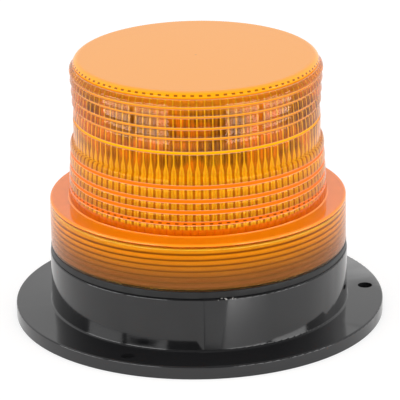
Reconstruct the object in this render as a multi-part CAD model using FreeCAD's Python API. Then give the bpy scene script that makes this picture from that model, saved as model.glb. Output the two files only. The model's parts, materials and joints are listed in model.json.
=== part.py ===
import FreeCAD, Part
import math
import os

# Rotating beacon with a screw-on amber lens, three-hole flange mount, 12 V.
# Millimetres. +Z is up, and the origin is the centre of the flange's mounting face.

# ---------------------------------------------------------------- housing
BODY_D = 108.6              # drum above the flange
FLANGE_W = 13.2             # width of the mounting flange beyond the drum
FLANGE_H = 4.7
FLANGE_EDGE = 0.6           # rounded upper edge of the flange
FLANGE_SKIN = 2.4           # thickness of the flange over its underside pockets
FLANGE_RIM = 2.5            # width of the flange's outer rim
HOLE_D = 5.3                # fixing holes
HOLE_OUT = 7.4              # from the drum to a fixing hole's centre
HOLE_COUNT = 3
HOLE_START = 5.5            # angle of the first fixing hole, degrees
HOLE_BOSS_WALL = 2.4        # material left round each fixing hole
SHOULDER_RISE = 4.5         # the shoulder under the gasket, above the chassis plate's seat
SHOULDER_EDGE = 0.6
SHOULDER_T = 2.5            # thickness of the shoulder over the ring channel
BODY_WALL = 2.2
JUNCTION_FILLET = 0.8       # fillet where the drum meets the flange
PLATE_LEDGE = 1.95          # ledge round the top of the cup that carries the chassis plate
CUP_WALL = 2.2
FLOOR_T = 2.5
FLOOR_RISE = 2.0            # the floor's underside stands this far above the mounting face
NECK_RISE = 8.5             # neck above the shoulder
NECK_WALL = 2.8
NECK_EDGE = 0.5
RIB_COUNT = 12              # ribs under the flange and across the ring channel
RIB_T = 1.6
POST_D = 7.0                # posts that carry the chassis plate
POST_INSET = 2.8            # from the cup's wall to a post's centre
POST_COUNT = 3
POST_START = 50.0

# ---------------------------------------------------------------- gasket
GASKET_INSET = 0.3          # the gasket stands this far inside the drum's wall
GASKET_H = 2.8
GASKET_EDGE = 0.5
GASKET_GAP = 0.2            # radial gap between gasket and neck

# ---------------------------------------------------------------- lens
COLLAR_INSET = 0.4          # the screw collar stands this far inside the drum's wall
COLLAR_H = 17.6
COLLAR_WALL = 2.0
COLLAR_EDGE = 0.6
COLLAR_ROOF = 2.2           # thickness of the flat ring on top of the collar
THREAD_GAP = 0.35           # radial gap between collar bore and neck
RING_W = 7.0                # flat ring on top of the collar, outside the dome
LOWER_BULGE = 0.35          # the lowest prism stands proud of the dome's foot
LOWER_TAPER = 1.25          # from the lowest prism to the highest lower one
LOWER_GROOVES = (18.1, 13.1, 9.1, 5.0)      # heights above the flat ring
LOWER_GROOVE_W = 1.1
LOWER_GROOVE_DEPTH = 1.5
STEP_RISE = 21.5            # the lower prisms end at this height above the flat ring
STEP_IN = 1.35              # step in to the plain optical band
STEP_H = 0.8
UPPER_PROUD = 0.65          # the upper prisms stand proud of the plain band
UPPER_LIP = 0.35            # each upper prism is this much smaller at its top
UPPER_GROOVES = (30.3, 35.4, 39.2, 43.5, 46.9, 50.3)    # heights above the flat ring
UPPER_GROOVE_W = 0.8
UPPER_GROOVE_DEPTH = 0.9
CROWN_H = 1.9               # flat top above the highest groove
CROWN_IN = 1.7              # the crown's corner, inside the upper prisms
TOP_ROUND = 1.4
ROOF_T = 2.5
DOME_WALL = 4.5             # from the dome's foot to the flutes' roots
DOME_DRAFT = 0.9            # the inside is this much smaller in radius at the roof
FLUTE_COUNT = 96            # vertical flutes inside the dome
FLUTE_DEPTH = 0.55

# ---------------------------------------------------------------- chassis and motor
PLATE_T = 1.2
PLATE_GAP = 0.4             # radial gap between plate and neck
SCREW_D = 3.0
SCREW_HEAD_D = 5.6
SCREW_HEAD_H = 2.0
SCREW_GRIP = 6.0            # length of a chassis screw in its post
SCREW_FIT = 0.05            # radial gap round a screw's shank
HEAD_BEVEL = 0.6            # bevel of a screw head
WIRE_HOLE_D = 7.0
WIRE_HOLE_X = -24.0
MOTOR_D = 24.4
MOTOR_H = 12.3
MOTOR_EDGE = 1.2
MOTOR_BOSS_D = 6.2
MOTOR_CAP_D = 22.0
MOTOR_CAP_H = 1.8
MOTOR_SCREW_D = 2.0
MOTOR_SCREW_HEAD_D = 3.8
MOTOR_SCREW_HEAD_H = 1.3
MOTOR_SCREW_PCD = 17.0
MOTOR_SCREW_GRIP = 2.4
MOTOR_ROOM = 1.4            # under the motor
MOTOR_GAP = 0.6             # between the motor and the cup
SHAFT_D = 2.0
RUN_GAP = 0.05              # radial running clearance
END_PLAY = 0.1              # axial running clearance

# ---------------------------------------------------------------- gears
MODULE = 1.0
PINION_TEETH = 12
PRESSURE_ANGLE = 20.0
ADDENDUM = 0.75             # in modules; stubbed, so that the small pinion runs free
DEDENDUM = 1.1
BACKLASH = 0.16
WHEEL_H = 4.4
PINION_H = 4.6
PINION_BELOW = 0.6          # the pinion reaches this far below the wheel
SHAFT_PROUD = 0.2           # shaft past the pinion

# ---------------------------------------------------------------- rotor
SLEEVE_WALL = 1.8           # fixed tube round the lamp socket, that the wheel turns on
SLEEVE_SPIGOT = 1.0         # length below the plate
SLEEVE_FLANGE_W = 3.8
SLEEVE_FLANGE_H = 1.2
WASHER_H = 0.6
WASHER_W = 3.3
HUB_WALL = 3.3
HUB_RISE = 2.9              # hub above the wheel's face
CLIP_H = 0.8
CLIP_DEPTH = 0.6            # depth of the clip's groove in the sleeve
CLIP_WALL = 2.6
CLIP_OPENING = 50.0         # degrees
CLIP_TO_TOP = 1.7           # from the clip to the sleeve's upper end
ROTOR_REST = 90.0           # direction that the reflector faces at rest, degrees
MIRROR_T = 1.2
MIRROR_REACH = 4.0          # rim of the mirror ahead of the axis
MIRROR_GAP = 3.16           # between the mirror's rim and the flutes
MIRROR_ROOF_GAP = 3.1       # between the mirror's trimmed top and the roof
PAD_D = 15.0
PAD_T = 1.2
BRACKET_T = 1.2
BRACKET_W = 18.0            # upright, behind the mirror
BRACKET_MARGIN = 0.8        # foot beyond the heads of its screws
BRACKET_SHOULDER = 6.0      # the bracket keeps the foot's width up to this height above the wheel
HUB_GAP = 0.5               # between the foot's cut-out and the hub
BRACKET_BEND = 1.0
BRACKET_OVER = 6.5          # the bracket ends this far above the focus
MIRROR_SCREW_SPAN = 8.0
SMALL_SCREW_D = 2.5
SMALL_HEAD_D = 4.2
HEAD_CLEAR = 0.3            # between a screw head and a bend
SMALL_HEAD_H = 1.5

# ---------------------------------------------------------------- lamp and socket
LIGHT_RISE = 24.1           # filament above the lens's flat ring
LIGHT_CENTRE = 31.8         # filament above the bayonet pins
CAP_D = 15.0                # lamp cap; the socket and the bearing are built round it
CAP_GAP = 0.3               # radial gap between cap and socket
CAP_BELOW_PINS = 6.0
CAP_H = 15.2
PIN_D = 2.0
PIN_REACH = 1.0             # the pins stand this far out of the cap
GLASS_D = 26.5
GLASS_TOP = 14.5            # glass above the filament
GLASS_WALL = 0.8
GLASS_INSET = 0.5           # the glass's neck, inside the cap's rim
GLASS_SEAT = 2.0            # depth of the glass in its cap
GLASS_NECK_H = 4.0          # straight neck above the cap
CAP_EDGE = 0.5
INSULATOR_INSET = 1.5       # the insulator's foot, inside the cap's side
INSULATOR_H = 0.8
TIP_D = 5.0
TIP_H = 0.8
COIL_D = 1.2
COIL_L = 5.5
SUPPORT_D = 0.6
STEM_D = 6.0
STEM_RISE = 12.0            # glass stem above the cap
SHELL_WALL = 0.6
SHELL_TOP = 5.2             # shell above the pins
SHELL_FLANGE_W = 1.6
SHELL_FLANGE_H = 0.8
SLOT_W = 2.4
SLOT_TURN = 30.0            # degrees from the slot's mouth to the pin's seat
PRESS_TRAVEL = 1.5          # the lamp can be pressed down this far
PLUNGER_D = 6.0
PLUNGER_H = 1.2
STEM_HOLE_D = 2.0           # the plunger's stem, and its hole in the insulating disc
DISC_GAP = 0.5              # radial gap between the insulating disc and the socket
DISC_H = 1.5
SPRING_D = 6.0
SPRING_WIRE = 0.5
SPRING_H = 3.5
SEAT_D = 6.4
SEAT_H = 0.5
SEAT_SHANK_D = 2.4
SOCKET_BASE_H = 1.5
SHELL_LIP = 0.8

# ---------------------------------------------------------------- wiring
BLOCK_X = -14.0
BLOCK_W = 12.0
BLOCK_H = 9.0
WAY_COUNT = 3
WAY_PITCH = 5.0
WAY_D = 2.0
BLOCK_MARGIN = 3.5
LEAD_D = 1.6
LEAD_ENTRY = 4.0            # length of a lead inside the block
LEAD_BEND = 4.0
TERMINAL_W = 2.0
TERMINAL_T = 0.5
TERMINAL_L = 3.4
CAPACITOR_BACK = 8.4        # from the motor's terminals to the capacitor
CAPACITOR_L = 12.0
CAPACITOR_W = 3.0
CAPACITOR_H = 6.0
CAPACITOR_LEG = 1.6
CAPACITOR_LEG_D = 0.6
GROMMET_Y = -13.0
INLET_D = 6.4               # for the supply cord
GROMMET_WALL = 1.6
GROMMET_LIP = 1.6
GROMMET_LIP_H = 1.3

PAST = 1.0                  # cuts and bosses run this far past the faces they meet
SCREW_BACK = 1.0            # screws end this far short of the bottom of their holes

# ---------------------------------------------------------------- heights and radii that follow
body_r = BODY_D / 2
flange_r = body_r + FLANGE_W
hole_r = body_r + HOLE_OUT
collar_r = body_r - COLLAR_INSET
collar_bore_r = collar_r - COLLAR_WALL
neck_r = collar_bore_r - THREAD_GAP
neck_bore_r = neck_r - NECK_WALL
cup_r = neck_bore_r - PLATE_LEDGE
floor_z = FLOOR_RISE + FLOOR_T
motor_z = floor_z + MOTOR_ROOM + MOTOR_CAP_H
plate_seat_z = motor_z + MOTOR_H
plate_z = plate_seat_z + PLATE_T
shoulder_z = plate_seat_z + SHOULDER_RISE
neck_z = shoulder_z + NECK_RISE
collar_z = shoulder_z + GASKET_H
ring_z = collar_z + COLLAR_H
step_z = ring_z + STEP_RISE
top_z = ring_z + UPPER_GROOVES[-1] + CROWN_H
roof_z = top_z - ROOF_T
light_z = ring_z + LIGHT_RISE
dome_r = collar_r - RING_W
lower_foot_r = dome_r + LOWER_BULGE
lower_top_r = lower_foot_r - LOWER_TAPER
band_r = lower_top_r - STEP_IN
upper_r = band_r + UPPER_PROUD
dome_bore_r = dome_r - DOME_WALL
clear_r = dome_bore_r - DOME_DRAFT - FLUTE_DEPTH
wheel_teeth = math.floor(round(2 * (cup_r - MOTOR_GAP - MOTOR_D / 2) / MODULE, 6)) - PINION_TEETH
motor_r = MODULE * (PINION_TEETH + wheel_teeth) / 2
wheel_root_r = MODULE * (wheel_teeth / 2 - DEDENDUM)
lead_z = motor_z - MOTOR_CAP_H / 2
cap_r = CAP_D / 2
shell_bore_r = cap_r + CAP_GAP
shell_r = shell_bore_r + SHELL_WALL
shell_flange_r = shell_r + SHELL_FLANGE_W
sleeve_r = shell_r + SLEEVE_WALL
sleeve_flange_r = sleeve_r + SLEEVE_FLANGE_W
hub_r = sleeve_r + HUB_WALL
glass_neck_r = cap_r - GLASS_INSET
washer_z = plate_z + SLEEVE_FLANGE_H
wheel_z = washer_z + WASHER_H + END_PLAY
wheel_top_z = wheel_z + WHEEL_H
hub_z = wheel_top_z + HUB_RISE
clip_z = hub_z + END_PLAY
sleeve_top_z = clip_z + CLIP_H + CLIP_TO_TOP
pin_z = light_z - LIGHT_CENTRE
cap_z = pin_z - CAP_BELOW_PINS
cap_top_z = cap_z + CAP_H
insulator_z = cap_z - INSULATOR_H
tip_z = insulator_z - TIP_H
plunger_z = tip_z - PLUNGER_H
disc_z = plunger_z - DISC_H
spring_z = disc_z - SPRING_H
seat_z = spring_z - SEAT_H
socket_base_z = seat_z - SOCKET_BASE_H
shell_z = socket_base_z - SHELL_LIP
mirror_r = clear_r - MIRROR_GAP
focal = (math.sqrt(MIRROR_REACH ** 2 + mirror_r ** 2) - MIRROR_REACH) / 2
mirror_back = -(focal + MIRROR_T + PAD_T)
foot_x = mirror_back + BRACKET_BEND + HEAD_CLEAR + SMALL_HEAD_D / 2
foot_screw_r = (hub_r + wheel_root_r) / 2
foot_y = math.sqrt(foot_screw_r ** 2 - foot_x ** 2)


# ---------------------------------------------------------------- drawing helpers
def at(radius, angle, z=0.0):
    """Point at a radius and an angle in degrees."""
    turn = math.radians(angle)
    return FreeCAD.Vector(radius * math.cos(turn), radius * math.sin(turn), z)


def closed_wire(points, place):
    """Closed outline through the points. A third number on a point rounds that corner to a radius."""
    corners = []
    count = len(points)
    for index, point in enumerate(points):
        here = place(point[0], point[1])
        radius = point[2] if len(point) > 2 else 0.0
        if radius == 0.0:
            corners.append((here, None, here))
            continue
        last = points[index - 1]
        following = points[(index + 1) % count]
        back = place(last[0], last[1]).sub(here).normalize()
        on = place(following[0], following[1]).sub(here).normalize()
        half = back.getAngle(on) / 2
        inward = back.add(on).normalize()
        run = radius / math.tan(half)
        middle = here + inward * (radius / math.sin(half) - radius)
        corners.append((here + back * run, middle, here + on * run))
    edges = []
    for index, (entry, middle, leave) in enumerate(corners):
        if middle is not None:
            edges.append(Part.Arc(entry, middle, leave).toShape())
        reach = corners[(index + 1) % count][0]
        if leave.distanceToPoint(reach) > 1e-6:
            edges.append(Part.makeLine(leave, reach))
    return Part.Wire(edges)


def turned(points):
    """Solid turned about Z from a closed outline of (radius, height) points."""
    wire = closed_wire(points, lambda radius, z: FreeCAD.Vector(radius, 0, z))
    return Part.Face(wire).revolve(FreeCAD.Vector(0, 0, 0), FreeCAD.Vector(0, 0, 1), 360)


def plate(points, low, high):
    """Upright prism over a closed outline of (x, y) points."""
    wire = closed_wire(points, lambda x, y: FreeCAD.Vector(x, y, low))
    return Part.Face(wire).extrude(FreeCAD.Vector(0, 0, high - low))


def disc(radius, low, high, centre=FreeCAD.Vector(0, 0, 0)):
    return Part.makeCylinder(radius, high - low, FreeCAD.Vector(centre.x, centre.y, low))


def ring(outer, inner, low, high, centre=FreeCAD.Vector(0, 0, 0)):
    return disc(outer, low, high, centre).cut(disc(inner, low, high, centre))


def block(x_low, x_high, y_low, y_high, z_low, z_high):
    corner = FreeCAD.Vector(x_low, y_low, z_low)
    return Part.makeBox(x_high - x_low, y_high - y_low, z_high - z_low, corner)


def rod(diameter, start, end):
    """Round bar from one point to another."""
    along = end.sub(start)
    return Part.makeCylinder(diameter / 2, along.Length, start, along)


def circle_of(count, start, radius):
    """Points spaced evenly round a circle."""
    return [at(radius, start + 360.0 * index / count) for index in range(count)]


def together(shapes):
    """Group of separate solids."""
    solids = [solid for shape in shapes for solid in shape.Solids]
    return Part.makeCompound(solids)


def screw(shank_d, head_d, head_h, grip):
    """Pan-head screw pointing down, with the underside of its head at the origin."""
    shank_r = shank_d / 2
    head_r = head_d / 2
    return turned([(0, head_h), (head_r - HEAD_BEVEL, head_h), (head_r, head_h - HEAD_BEVEL), (head_r, 0),
                   (shank_r, 0), (shank_r, -grip), (0, -grip)])


def moved(shape, point):
    copy = shape.copy()
    copy.translate(point)
    return copy


# ---------------------------------------------------------------- housing and seal
def fixing_holes():
    return circle_of(HOLE_COUNT, HOLE_START, hole_r)


def post_centres():
    return circle_of(POST_COUNT, POST_START, cup_r - POST_INSET)


def grommet_centre():
    return FreeCAD.Vector(0, GROMMET_Y, 0)


def underside_pockets():
    """Pockets moulded into the underside, between radial ribs and clear of the fixing holes."""
    rim_r = flange_r - FLANGE_RIM
    channel_in_r = cup_r + CUP_WALL
    channel_out_r = body_r - BODY_WALL
    flange_pocket = ring(rim_r, body_r, 0, FLANGE_H - FLANGE_SKIN)
    channel = ring(channel_out_r, channel_in_r, 0, shoulder_z - SHOULDER_T)
    ribs = []
    for index in range(RIB_COUNT):
        rib = block(channel_in_r - PAST, rim_r + PAST, -RIB_T / 2, RIB_T / 2, 0, shoulder_z)
        rib.rotate(FreeCAD.Vector(0, 0, 0), FreeCAD.Vector(0, 0, 1), HOLE_START + 360.0 * index / RIB_COUNT)
        ribs.append(rib)
    boss_r = HOLE_D / 2 + HOLE_BOSS_WALL
    bosses = [disc(boss_r, 0, FLANGE_H, centre) for centre in fixing_holes()]
    return flange_pocket.multiFuse([channel]).cut(Part.makeCompound(ribs + bosses))


def base_housing():
    body = turned([
        (0, FLOOR_RISE), (cup_r, FLOOR_RISE), (cup_r, 0), (flange_r, 0),
        (flange_r, FLANGE_H, FLANGE_EDGE), (body_r, FLANGE_H, JUNCTION_FILLET),
        (body_r, shoulder_z, SHOULDER_EDGE), (neck_r, shoulder_z), (neck_r, neck_z, NECK_EDGE),
        (neck_bore_r, neck_z), (neck_bore_r, plate_seat_z), (cup_r, plate_seat_z),
        (cup_r, floor_z), (0, floor_z)])
    posts = [disc(POST_D / 2, floor_z, plate_seat_z, centre) for centre in post_centres()]
    body = body.multiFuse(posts)
    cuts = [disc(HOLE_D / 2, 0, FLANGE_H, centre) for centre in fixing_holes()]
    pilot_r = SCREW_D / 2 + SCREW_FIT
    pilot_low = plate_seat_z - SCREW_GRIP - SCREW_BACK
    cuts += [disc(pilot_r, pilot_low, plate_seat_z, centre) for centre in post_centres()]
    cuts.append(disc(INLET_D / 2 + GROMMET_WALL, FLOOR_RISE, floor_z, grommet_centre()))
    cuts.append(underside_pockets())
    return body.cut(Part.makeCompound(cuts))


def lens_gasket():
    inner = neck_r + GASKET_GAP
    outer = body_r - GASKET_INSET
    return turned([(inner, shoulder_z), (outer, shoulder_z, GASKET_EDGE),
                   (outer, collar_z, GASKET_EDGE), (inner, collar_z)])


def cable_grommet():
    bore = INLET_D / 2
    waist = bore + GROMMET_WALL
    lip = waist + GROMMET_LIP
    low = FLOOR_RISE - GROMMET_LIP_H
    high = floor_z + GROMMET_LIP_H
    grommet = turned([(bore, low), (lip, low), (lip, FLOOR_RISE), (waist, FLOOR_RISE), (waist, floor_z),
                      (lip, floor_z), (lip, high), (bore, high)])
    return moved(grommet, grommet_centre())


# ---------------------------------------------------------------- lens
def groove(radius_low, radius_high, z, width, depth):
    """V-groove in a ringed wall, from its lower lip to its upper lip."""
    bottom = (radius_low + radius_high) / 2 - depth
    return [(radius_low, z - width / 2), (bottom, z), (radius_high, z + width / 2)]


def dome_outline():
    """Outside of the dome from its foot to the middle of its flat top."""
    lowest = LOWER_GROOVES[-1]
    outline = [(dome_r, ring_z)]
    for rise in reversed(LOWER_GROOVES):
        share = (rise - lowest) / (STEP_RISE - lowest)
        radius = lower_foot_r - share * LOWER_TAPER
        outline += groove(radius, radius, ring_z + rise, LOWER_GROOVE_W, LOWER_GROOVE_DEPTH)
    outline += [(lower_top_r, step_z), (band_r, step_z + STEP_H)]
    small_r = upper_r - UPPER_LIP
    below_r = band_r
    for rise in UPPER_GROOVES:
        outline += groove(below_r, upper_r, ring_z + rise, UPPER_GROOVE_W, UPPER_GROOVE_DEPTH)
        below_r = small_r
    outline += [(upper_r - CROWN_IN, top_z, TOP_ROUND), (0, top_z)]
    return outline


def fluted_bore(low, high):
    """Inside of the dome: a tapered star whose points are the roots of the flutes."""
    def star(root_r, z):
        half = 180.0 / FLUTE_COUNT
        points = []
        for index in range(FLUTE_COUNT):
            points.append(at(root_r, 2 * half * index, z))
            points.append(at(root_r - FLUTE_DEPTH, 2 * half * index + half, z))
        return Part.makePolygon(points + [points[0]])
    return Part.makeLoft([star(dome_bore_r, low), star(dome_bore_r - DOME_DRAFT, high)], True, True)


def lens():
    under_z = ring_z - COLLAR_ROOF
    core_r = clear_r - PAST
    outline = [(core_r, under_z), (collar_bore_r, under_z, COLLAR_EDGE), (collar_bore_r, collar_z),
               (collar_r, collar_z), (collar_r, ring_z, COLLAR_EDGE)]
    outline += dome_outline()
    outline += [(0, roof_z), (core_r, roof_z)]
    return turned(outline).cut(fluted_bore(under_z, roof_z))


# ---------------------------------------------------------------- chassis and motor
def motor_centre():
    return FreeCAD.Vector(motor_r, 0, 0)


def motor_screw_centres():
    return [motor_centre() + at(MOTOR_SCREW_PCD / 2, angle) for angle in (90, -90)]


def chassis_plate():
    sheet = disc(neck_bore_r - PLATE_GAP, plate_seat_z, plate_z)
    holes = [disc(sleeve_r, plate_seat_z, plate_z),
             disc(MOTOR_BOSS_D / 2, plate_seat_z, plate_z, motor_centre()),
             disc(WIRE_HOLE_D / 2, plate_seat_z, plate_z, FreeCAD.Vector(WIRE_HOLE_X, 0, 0))]
    for centre in post_centres():
        holes.append(disc(SCREW_D / 2 + SCREW_FIT, plate_seat_z, plate_z, centre))
    for centre in motor_screw_centres():
        holes.append(disc(MOTOR_SCREW_D / 2 + SCREW_FIT, plate_seat_z, plate_z, centre))
    return sheet.cut(Part.makeCompound(holes))


def chassis_screws():
    one = screw(SCREW_D, SCREW_HEAD_D, SCREW_HEAD_H, PLATE_T + SCREW_GRIP)
    return together([moved(one, centre + FreeCAD.Vector(0, 0, plate_z)) for centre in post_centres()])


def motor_can():
    can_r = MOTOR_D / 2
    bore_r = SHAFT_D / 2 + RUN_GAP
    boss_r = MOTOR_BOSS_D / 2
    can = turned([(bore_r, motor_z), (can_r, motor_z), (can_r, plate_seat_z, MOTOR_EDGE),
                  (boss_r, plate_seat_z), (boss_r, plate_z), (bore_r, plate_z)])
    can.translate(motor_centre())
    depth = plate_seat_z - MOTOR_SCREW_GRIP
    holes = [disc(MOTOR_SCREW_D / 2 + SCREW_FIT, depth, plate_seat_z, centre)
             for centre in motor_screw_centres()]
    return can.cut(Part.makeCompound(holes))


def motor_end_cap():
    return ring(MOTOR_CAP_D / 2, SHAFT_D / 2 + RUN_GAP, motor_z - MOTOR_CAP_H, motor_z, motor_centre())


def way_offsets():
    """Sideways places of the terminal block's ways."""
    return [WAY_PITCH * (index - (WAY_COUNT - 1) / 2) for index in range(WAY_COUNT)]


def outer_ways():
    return (way_offsets()[0], way_offsets()[-1])


def terminal_root(offset):
    """Where a terminal tab leaves the side of the motor's end cap."""
    return motor_r - math.sqrt((MOTOR_CAP_D / 2) ** 2 - (abs(offset) + TERMINAL_W / 2) ** 2)


def terminal_tip(offset):
    return terminal_root(offset) - TERMINAL_L


def motor_terminals():
    tabs = []
    for offset in outer_ways():
        tab = block(terminal_tip(offset), terminal_root(offset) + PAST, offset - TERMINAL_W / 2,
                    offset + TERMINAL_W / 2, lead_z - TERMINAL_T / 2, lead_z + TERMINAL_T / 2)
        tabs.append(tab.cut(disc(MOTOR_CAP_D / 2, lead_z - TERMINAL_T, lead_z + TERMINAL_T, motor_centre())))
    return together(tabs)


def motor_screws():
    one = screw(MOTOR_SCREW_D, MOTOR_SCREW_HEAD_D, MOTOR_SCREW_HEAD_H, PLATE_T + MOTOR_SCREW_GRIP)
    return together([moved(one, centre + FreeCAD.Vector(0, 0, plate_z)) for centre in motor_screw_centres()])


# ---------------------------------------------------------------- gears
def gear_wire(teeth, angle, z):
    """Involute gear outline with one tooth centred on an angle. Each flank is an arc through
    three points of its involute."""
    pitch_r = MODULE * teeth / 2
    base_r = pitch_r * math.cos(math.radians(PRESSURE_ANGLE))
    tip_r = pitch_r + ADDENDUM * MODULE
    root_r = pitch_r - DEDENDUM * MODULE

    def roll(radius):
        steep = math.acos(min(1.0, base_r / radius))
        return math.tan(steep) - steep

    def half_tooth(radius):
        at_pitch = math.pi / (2 * teeth) - BACKLASH / (4 * pitch_r)
        return math.degrees(at_pitch + roll(pitch_r) - roll(radius))

    start_r = max(base_r, root_r)
    middle_r = (start_r + tip_r) / 2
    edges = []
    for index in range(teeth):
        centre = angle + 360.0 * index / teeth
        following = centre + 360.0 / teeth
        flank = [(radius, half_tooth(radius)) for radius in (start_r, middle_r, tip_r)]
        rising = [at(radius, centre - half, z) for radius, half in flank]
        falling = [at(radius, centre + half, z) for radius, half in reversed(flank)]
        root_low = at(root_r, centre + half_tooth(start_r), z)
        root_high = at(root_r, following - half_tooth(start_r), z)
        next_start = at(start_r, following - half_tooth(start_r), z)
        edges.append(Part.Arc(*rising).toShape())
        edges.append(Part.makeLine(rising[-1], falling[0]))
        edges.append(Part.Arc(*falling).toShape())
        for start, end in ((falling[-1], root_low), (root_low, root_high), (root_high, next_start)):
            if start.distanceToPoint(end) > 1e-6:
                edges.append(Part.makeLine(start, end))
    return Part.Wire(edges)


def motor_shaft():
    end_z = wheel_z - PINION_BELOW + PINION_H + SHAFT_PROUD
    return disc(SHAFT_D / 2, motor_z - MOTOR_CAP_H, end_z, motor_centre())


def drive_pinion():
    """Its tooth space faces the wheel."""
    low = wheel_z - PINION_BELOW
    facing = 180 + 180.0 / PINION_TEETH
    blank = Part.Face(gear_wire(PINION_TEETH, facing, low)).extrude(FreeCAD.Vector(0, 0, PINION_H))
    blank.translate(motor_centre())
    return blank.cut(disc(SHAFT_D / 2, low, low + PINION_H, motor_centre()))


def rotor_gear():
    """Wheel with one tooth towards the motor, and its hub."""
    blank = Part.Face(gear_wire(wheel_teeth, 0, wheel_z)).extrude(FreeCAD.Vector(0, 0, WHEEL_H))
    gear = blank.fuse(disc(hub_r, wheel_z, hub_z))
    holes = [disc(sleeve_r + RUN_GAP, wheel_z, hub_z)]
    for centre in bracket_screw_centres():
        holes.append(disc(SMALL_SCREW_D / 2 + SCREW_FIT, wheel_z, wheel_top_z, centre))
    return gear.cut(Part.makeCompound(holes)).removeSplitter()


# ---------------------------------------------------------------- bearing
def bearing_sleeve():
    bore_r = shell_r + SCREW_FIT
    groove_r = sleeve_r - CLIP_DEPTH
    low = plate_seat_z - SLEEVE_SPIGOT
    return turned([(bore_r, low), (sleeve_r, low), (sleeve_r, plate_z), (sleeve_flange_r, plate_z),
                   (sleeve_flange_r, washer_z), (sleeve_r, washer_z), (sleeve_r, clip_z), (groove_r, clip_z),
                   (groove_r, clip_z + CLIP_H), (sleeve_r, clip_z + CLIP_H), (sleeve_r, sleeve_top_z),
                   (bore_r, sleeve_top_z)])


def thrust_washer():
    return ring(sleeve_r + WASHER_W, sleeve_r + RUN_GAP, washer_z, washer_z + WASHER_H)


def retaining_ring():
    inner = sleeve_r - CLIP_DEPTH
    whole = ring(inner + CLIP_WALL, inner, clip_z, clip_z + CLIP_H)
    reach = inner + CLIP_WALL + PAST
    half = CLIP_OPENING / 2
    opening = plate([(0, 0), tuple(at(reach, -half))[:2], (reach, 0), tuple(at(reach, half))[:2]],
                    clip_z, clip_z + CLIP_H)
    return whole.cut(opening)


# ---------------------------------------------------------------- reflector
def faced(shape):
    """Turn a piece drawn facing +X to the direction that the reflector faces at rest."""
    return shape.rotate(FreeCAD.Vector(0, 0, 0), FreeCAD.Vector(0, 0, 1), ROTOR_REST)


def bracket_screw_centres():
    """On the wheel's web, ahead of the bracket's bend and on both sides of the hub."""
    spread = math.degrees(math.atan2(foot_y, foot_x))
    return [at(foot_screw_r, ROTOR_REST + side * spread) for side in (1, -1)]


def bowl(back):
    """Solid paraboloid facing +X from its vertex to the mirror's rim, with its axis through the filament."""
    depth = back + MIRROR_REACH
    rim = math.sqrt(4 * focal * depth)
    middle = math.sqrt(2 * focal * depth)
    points = [FreeCAD.Vector(-back, 0, 0), FreeCAD.Vector(-back + depth / 2, middle, 0),
              FreeCAD.Vector(MIRROR_REACH, rim, 0)]
    curve = Part.BSplineCurve()
    start_pull = FreeCAD.Vector(0, 1, 0)
    end_pull = FreeCAD.Vector(rim / (2 * focal), 1, 0).normalize()
    curve.interpolate(Points=points, InitialTangent=start_pull, FinalTangent=end_pull)
    axis_point = FreeCAD.Vector(MIRROR_REACH, 0, 0)
    edges = [curve.toShape(), Part.makeLine(points[2], axis_point), Part.makeLine(axis_point, points[0])]
    solid = Part.Face(Part.Wire(edges)).revolve(FreeCAD.Vector(0, 0, 0), FreeCAD.Vector(1, 0, 0), 360)
    return moved(solid, FreeCAD.Vector(0, 0, light_z))


def mirror_screw_centres():
    """Heights of the two screws that hold the mirror to its bracket."""
    return [light_z - MIRROR_SCREW_SPAN / 2, light_z + MIRROR_SCREW_SPAN / 2]


def reflector():
    shell = bowl(focal + MIRROR_T)
    pad = rod(PAD_D, FreeCAD.Vector(mirror_back, 0, light_z), FreeCAD.Vector(-focal, 0, light_z))
    shell = shell.fuse(pad).cut(bowl(focal))
    half = roof_z - MIRROR_ROOF_GAP - light_z
    keep = block(mirror_back, MIRROR_REACH, -flange_r, flange_r, light_z - half, light_z + half)
    shell = shell.common(keep)
    hole_d = SMALL_SCREW_D + 2 * SCREW_FIT
    holes = [rod(hole_d, FreeCAD.Vector(mirror_back, 0, z), FreeCAD.Vector(mirror_screw_end(), 0, z))
             for z in mirror_screw_centres()]
    return faced(shell.cut(Part.makeCompound(holes)))


def mirror_screw_end():
    """The screws stop short of the mirror's face."""
    return -focal - MIRROR_T / 4


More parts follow.
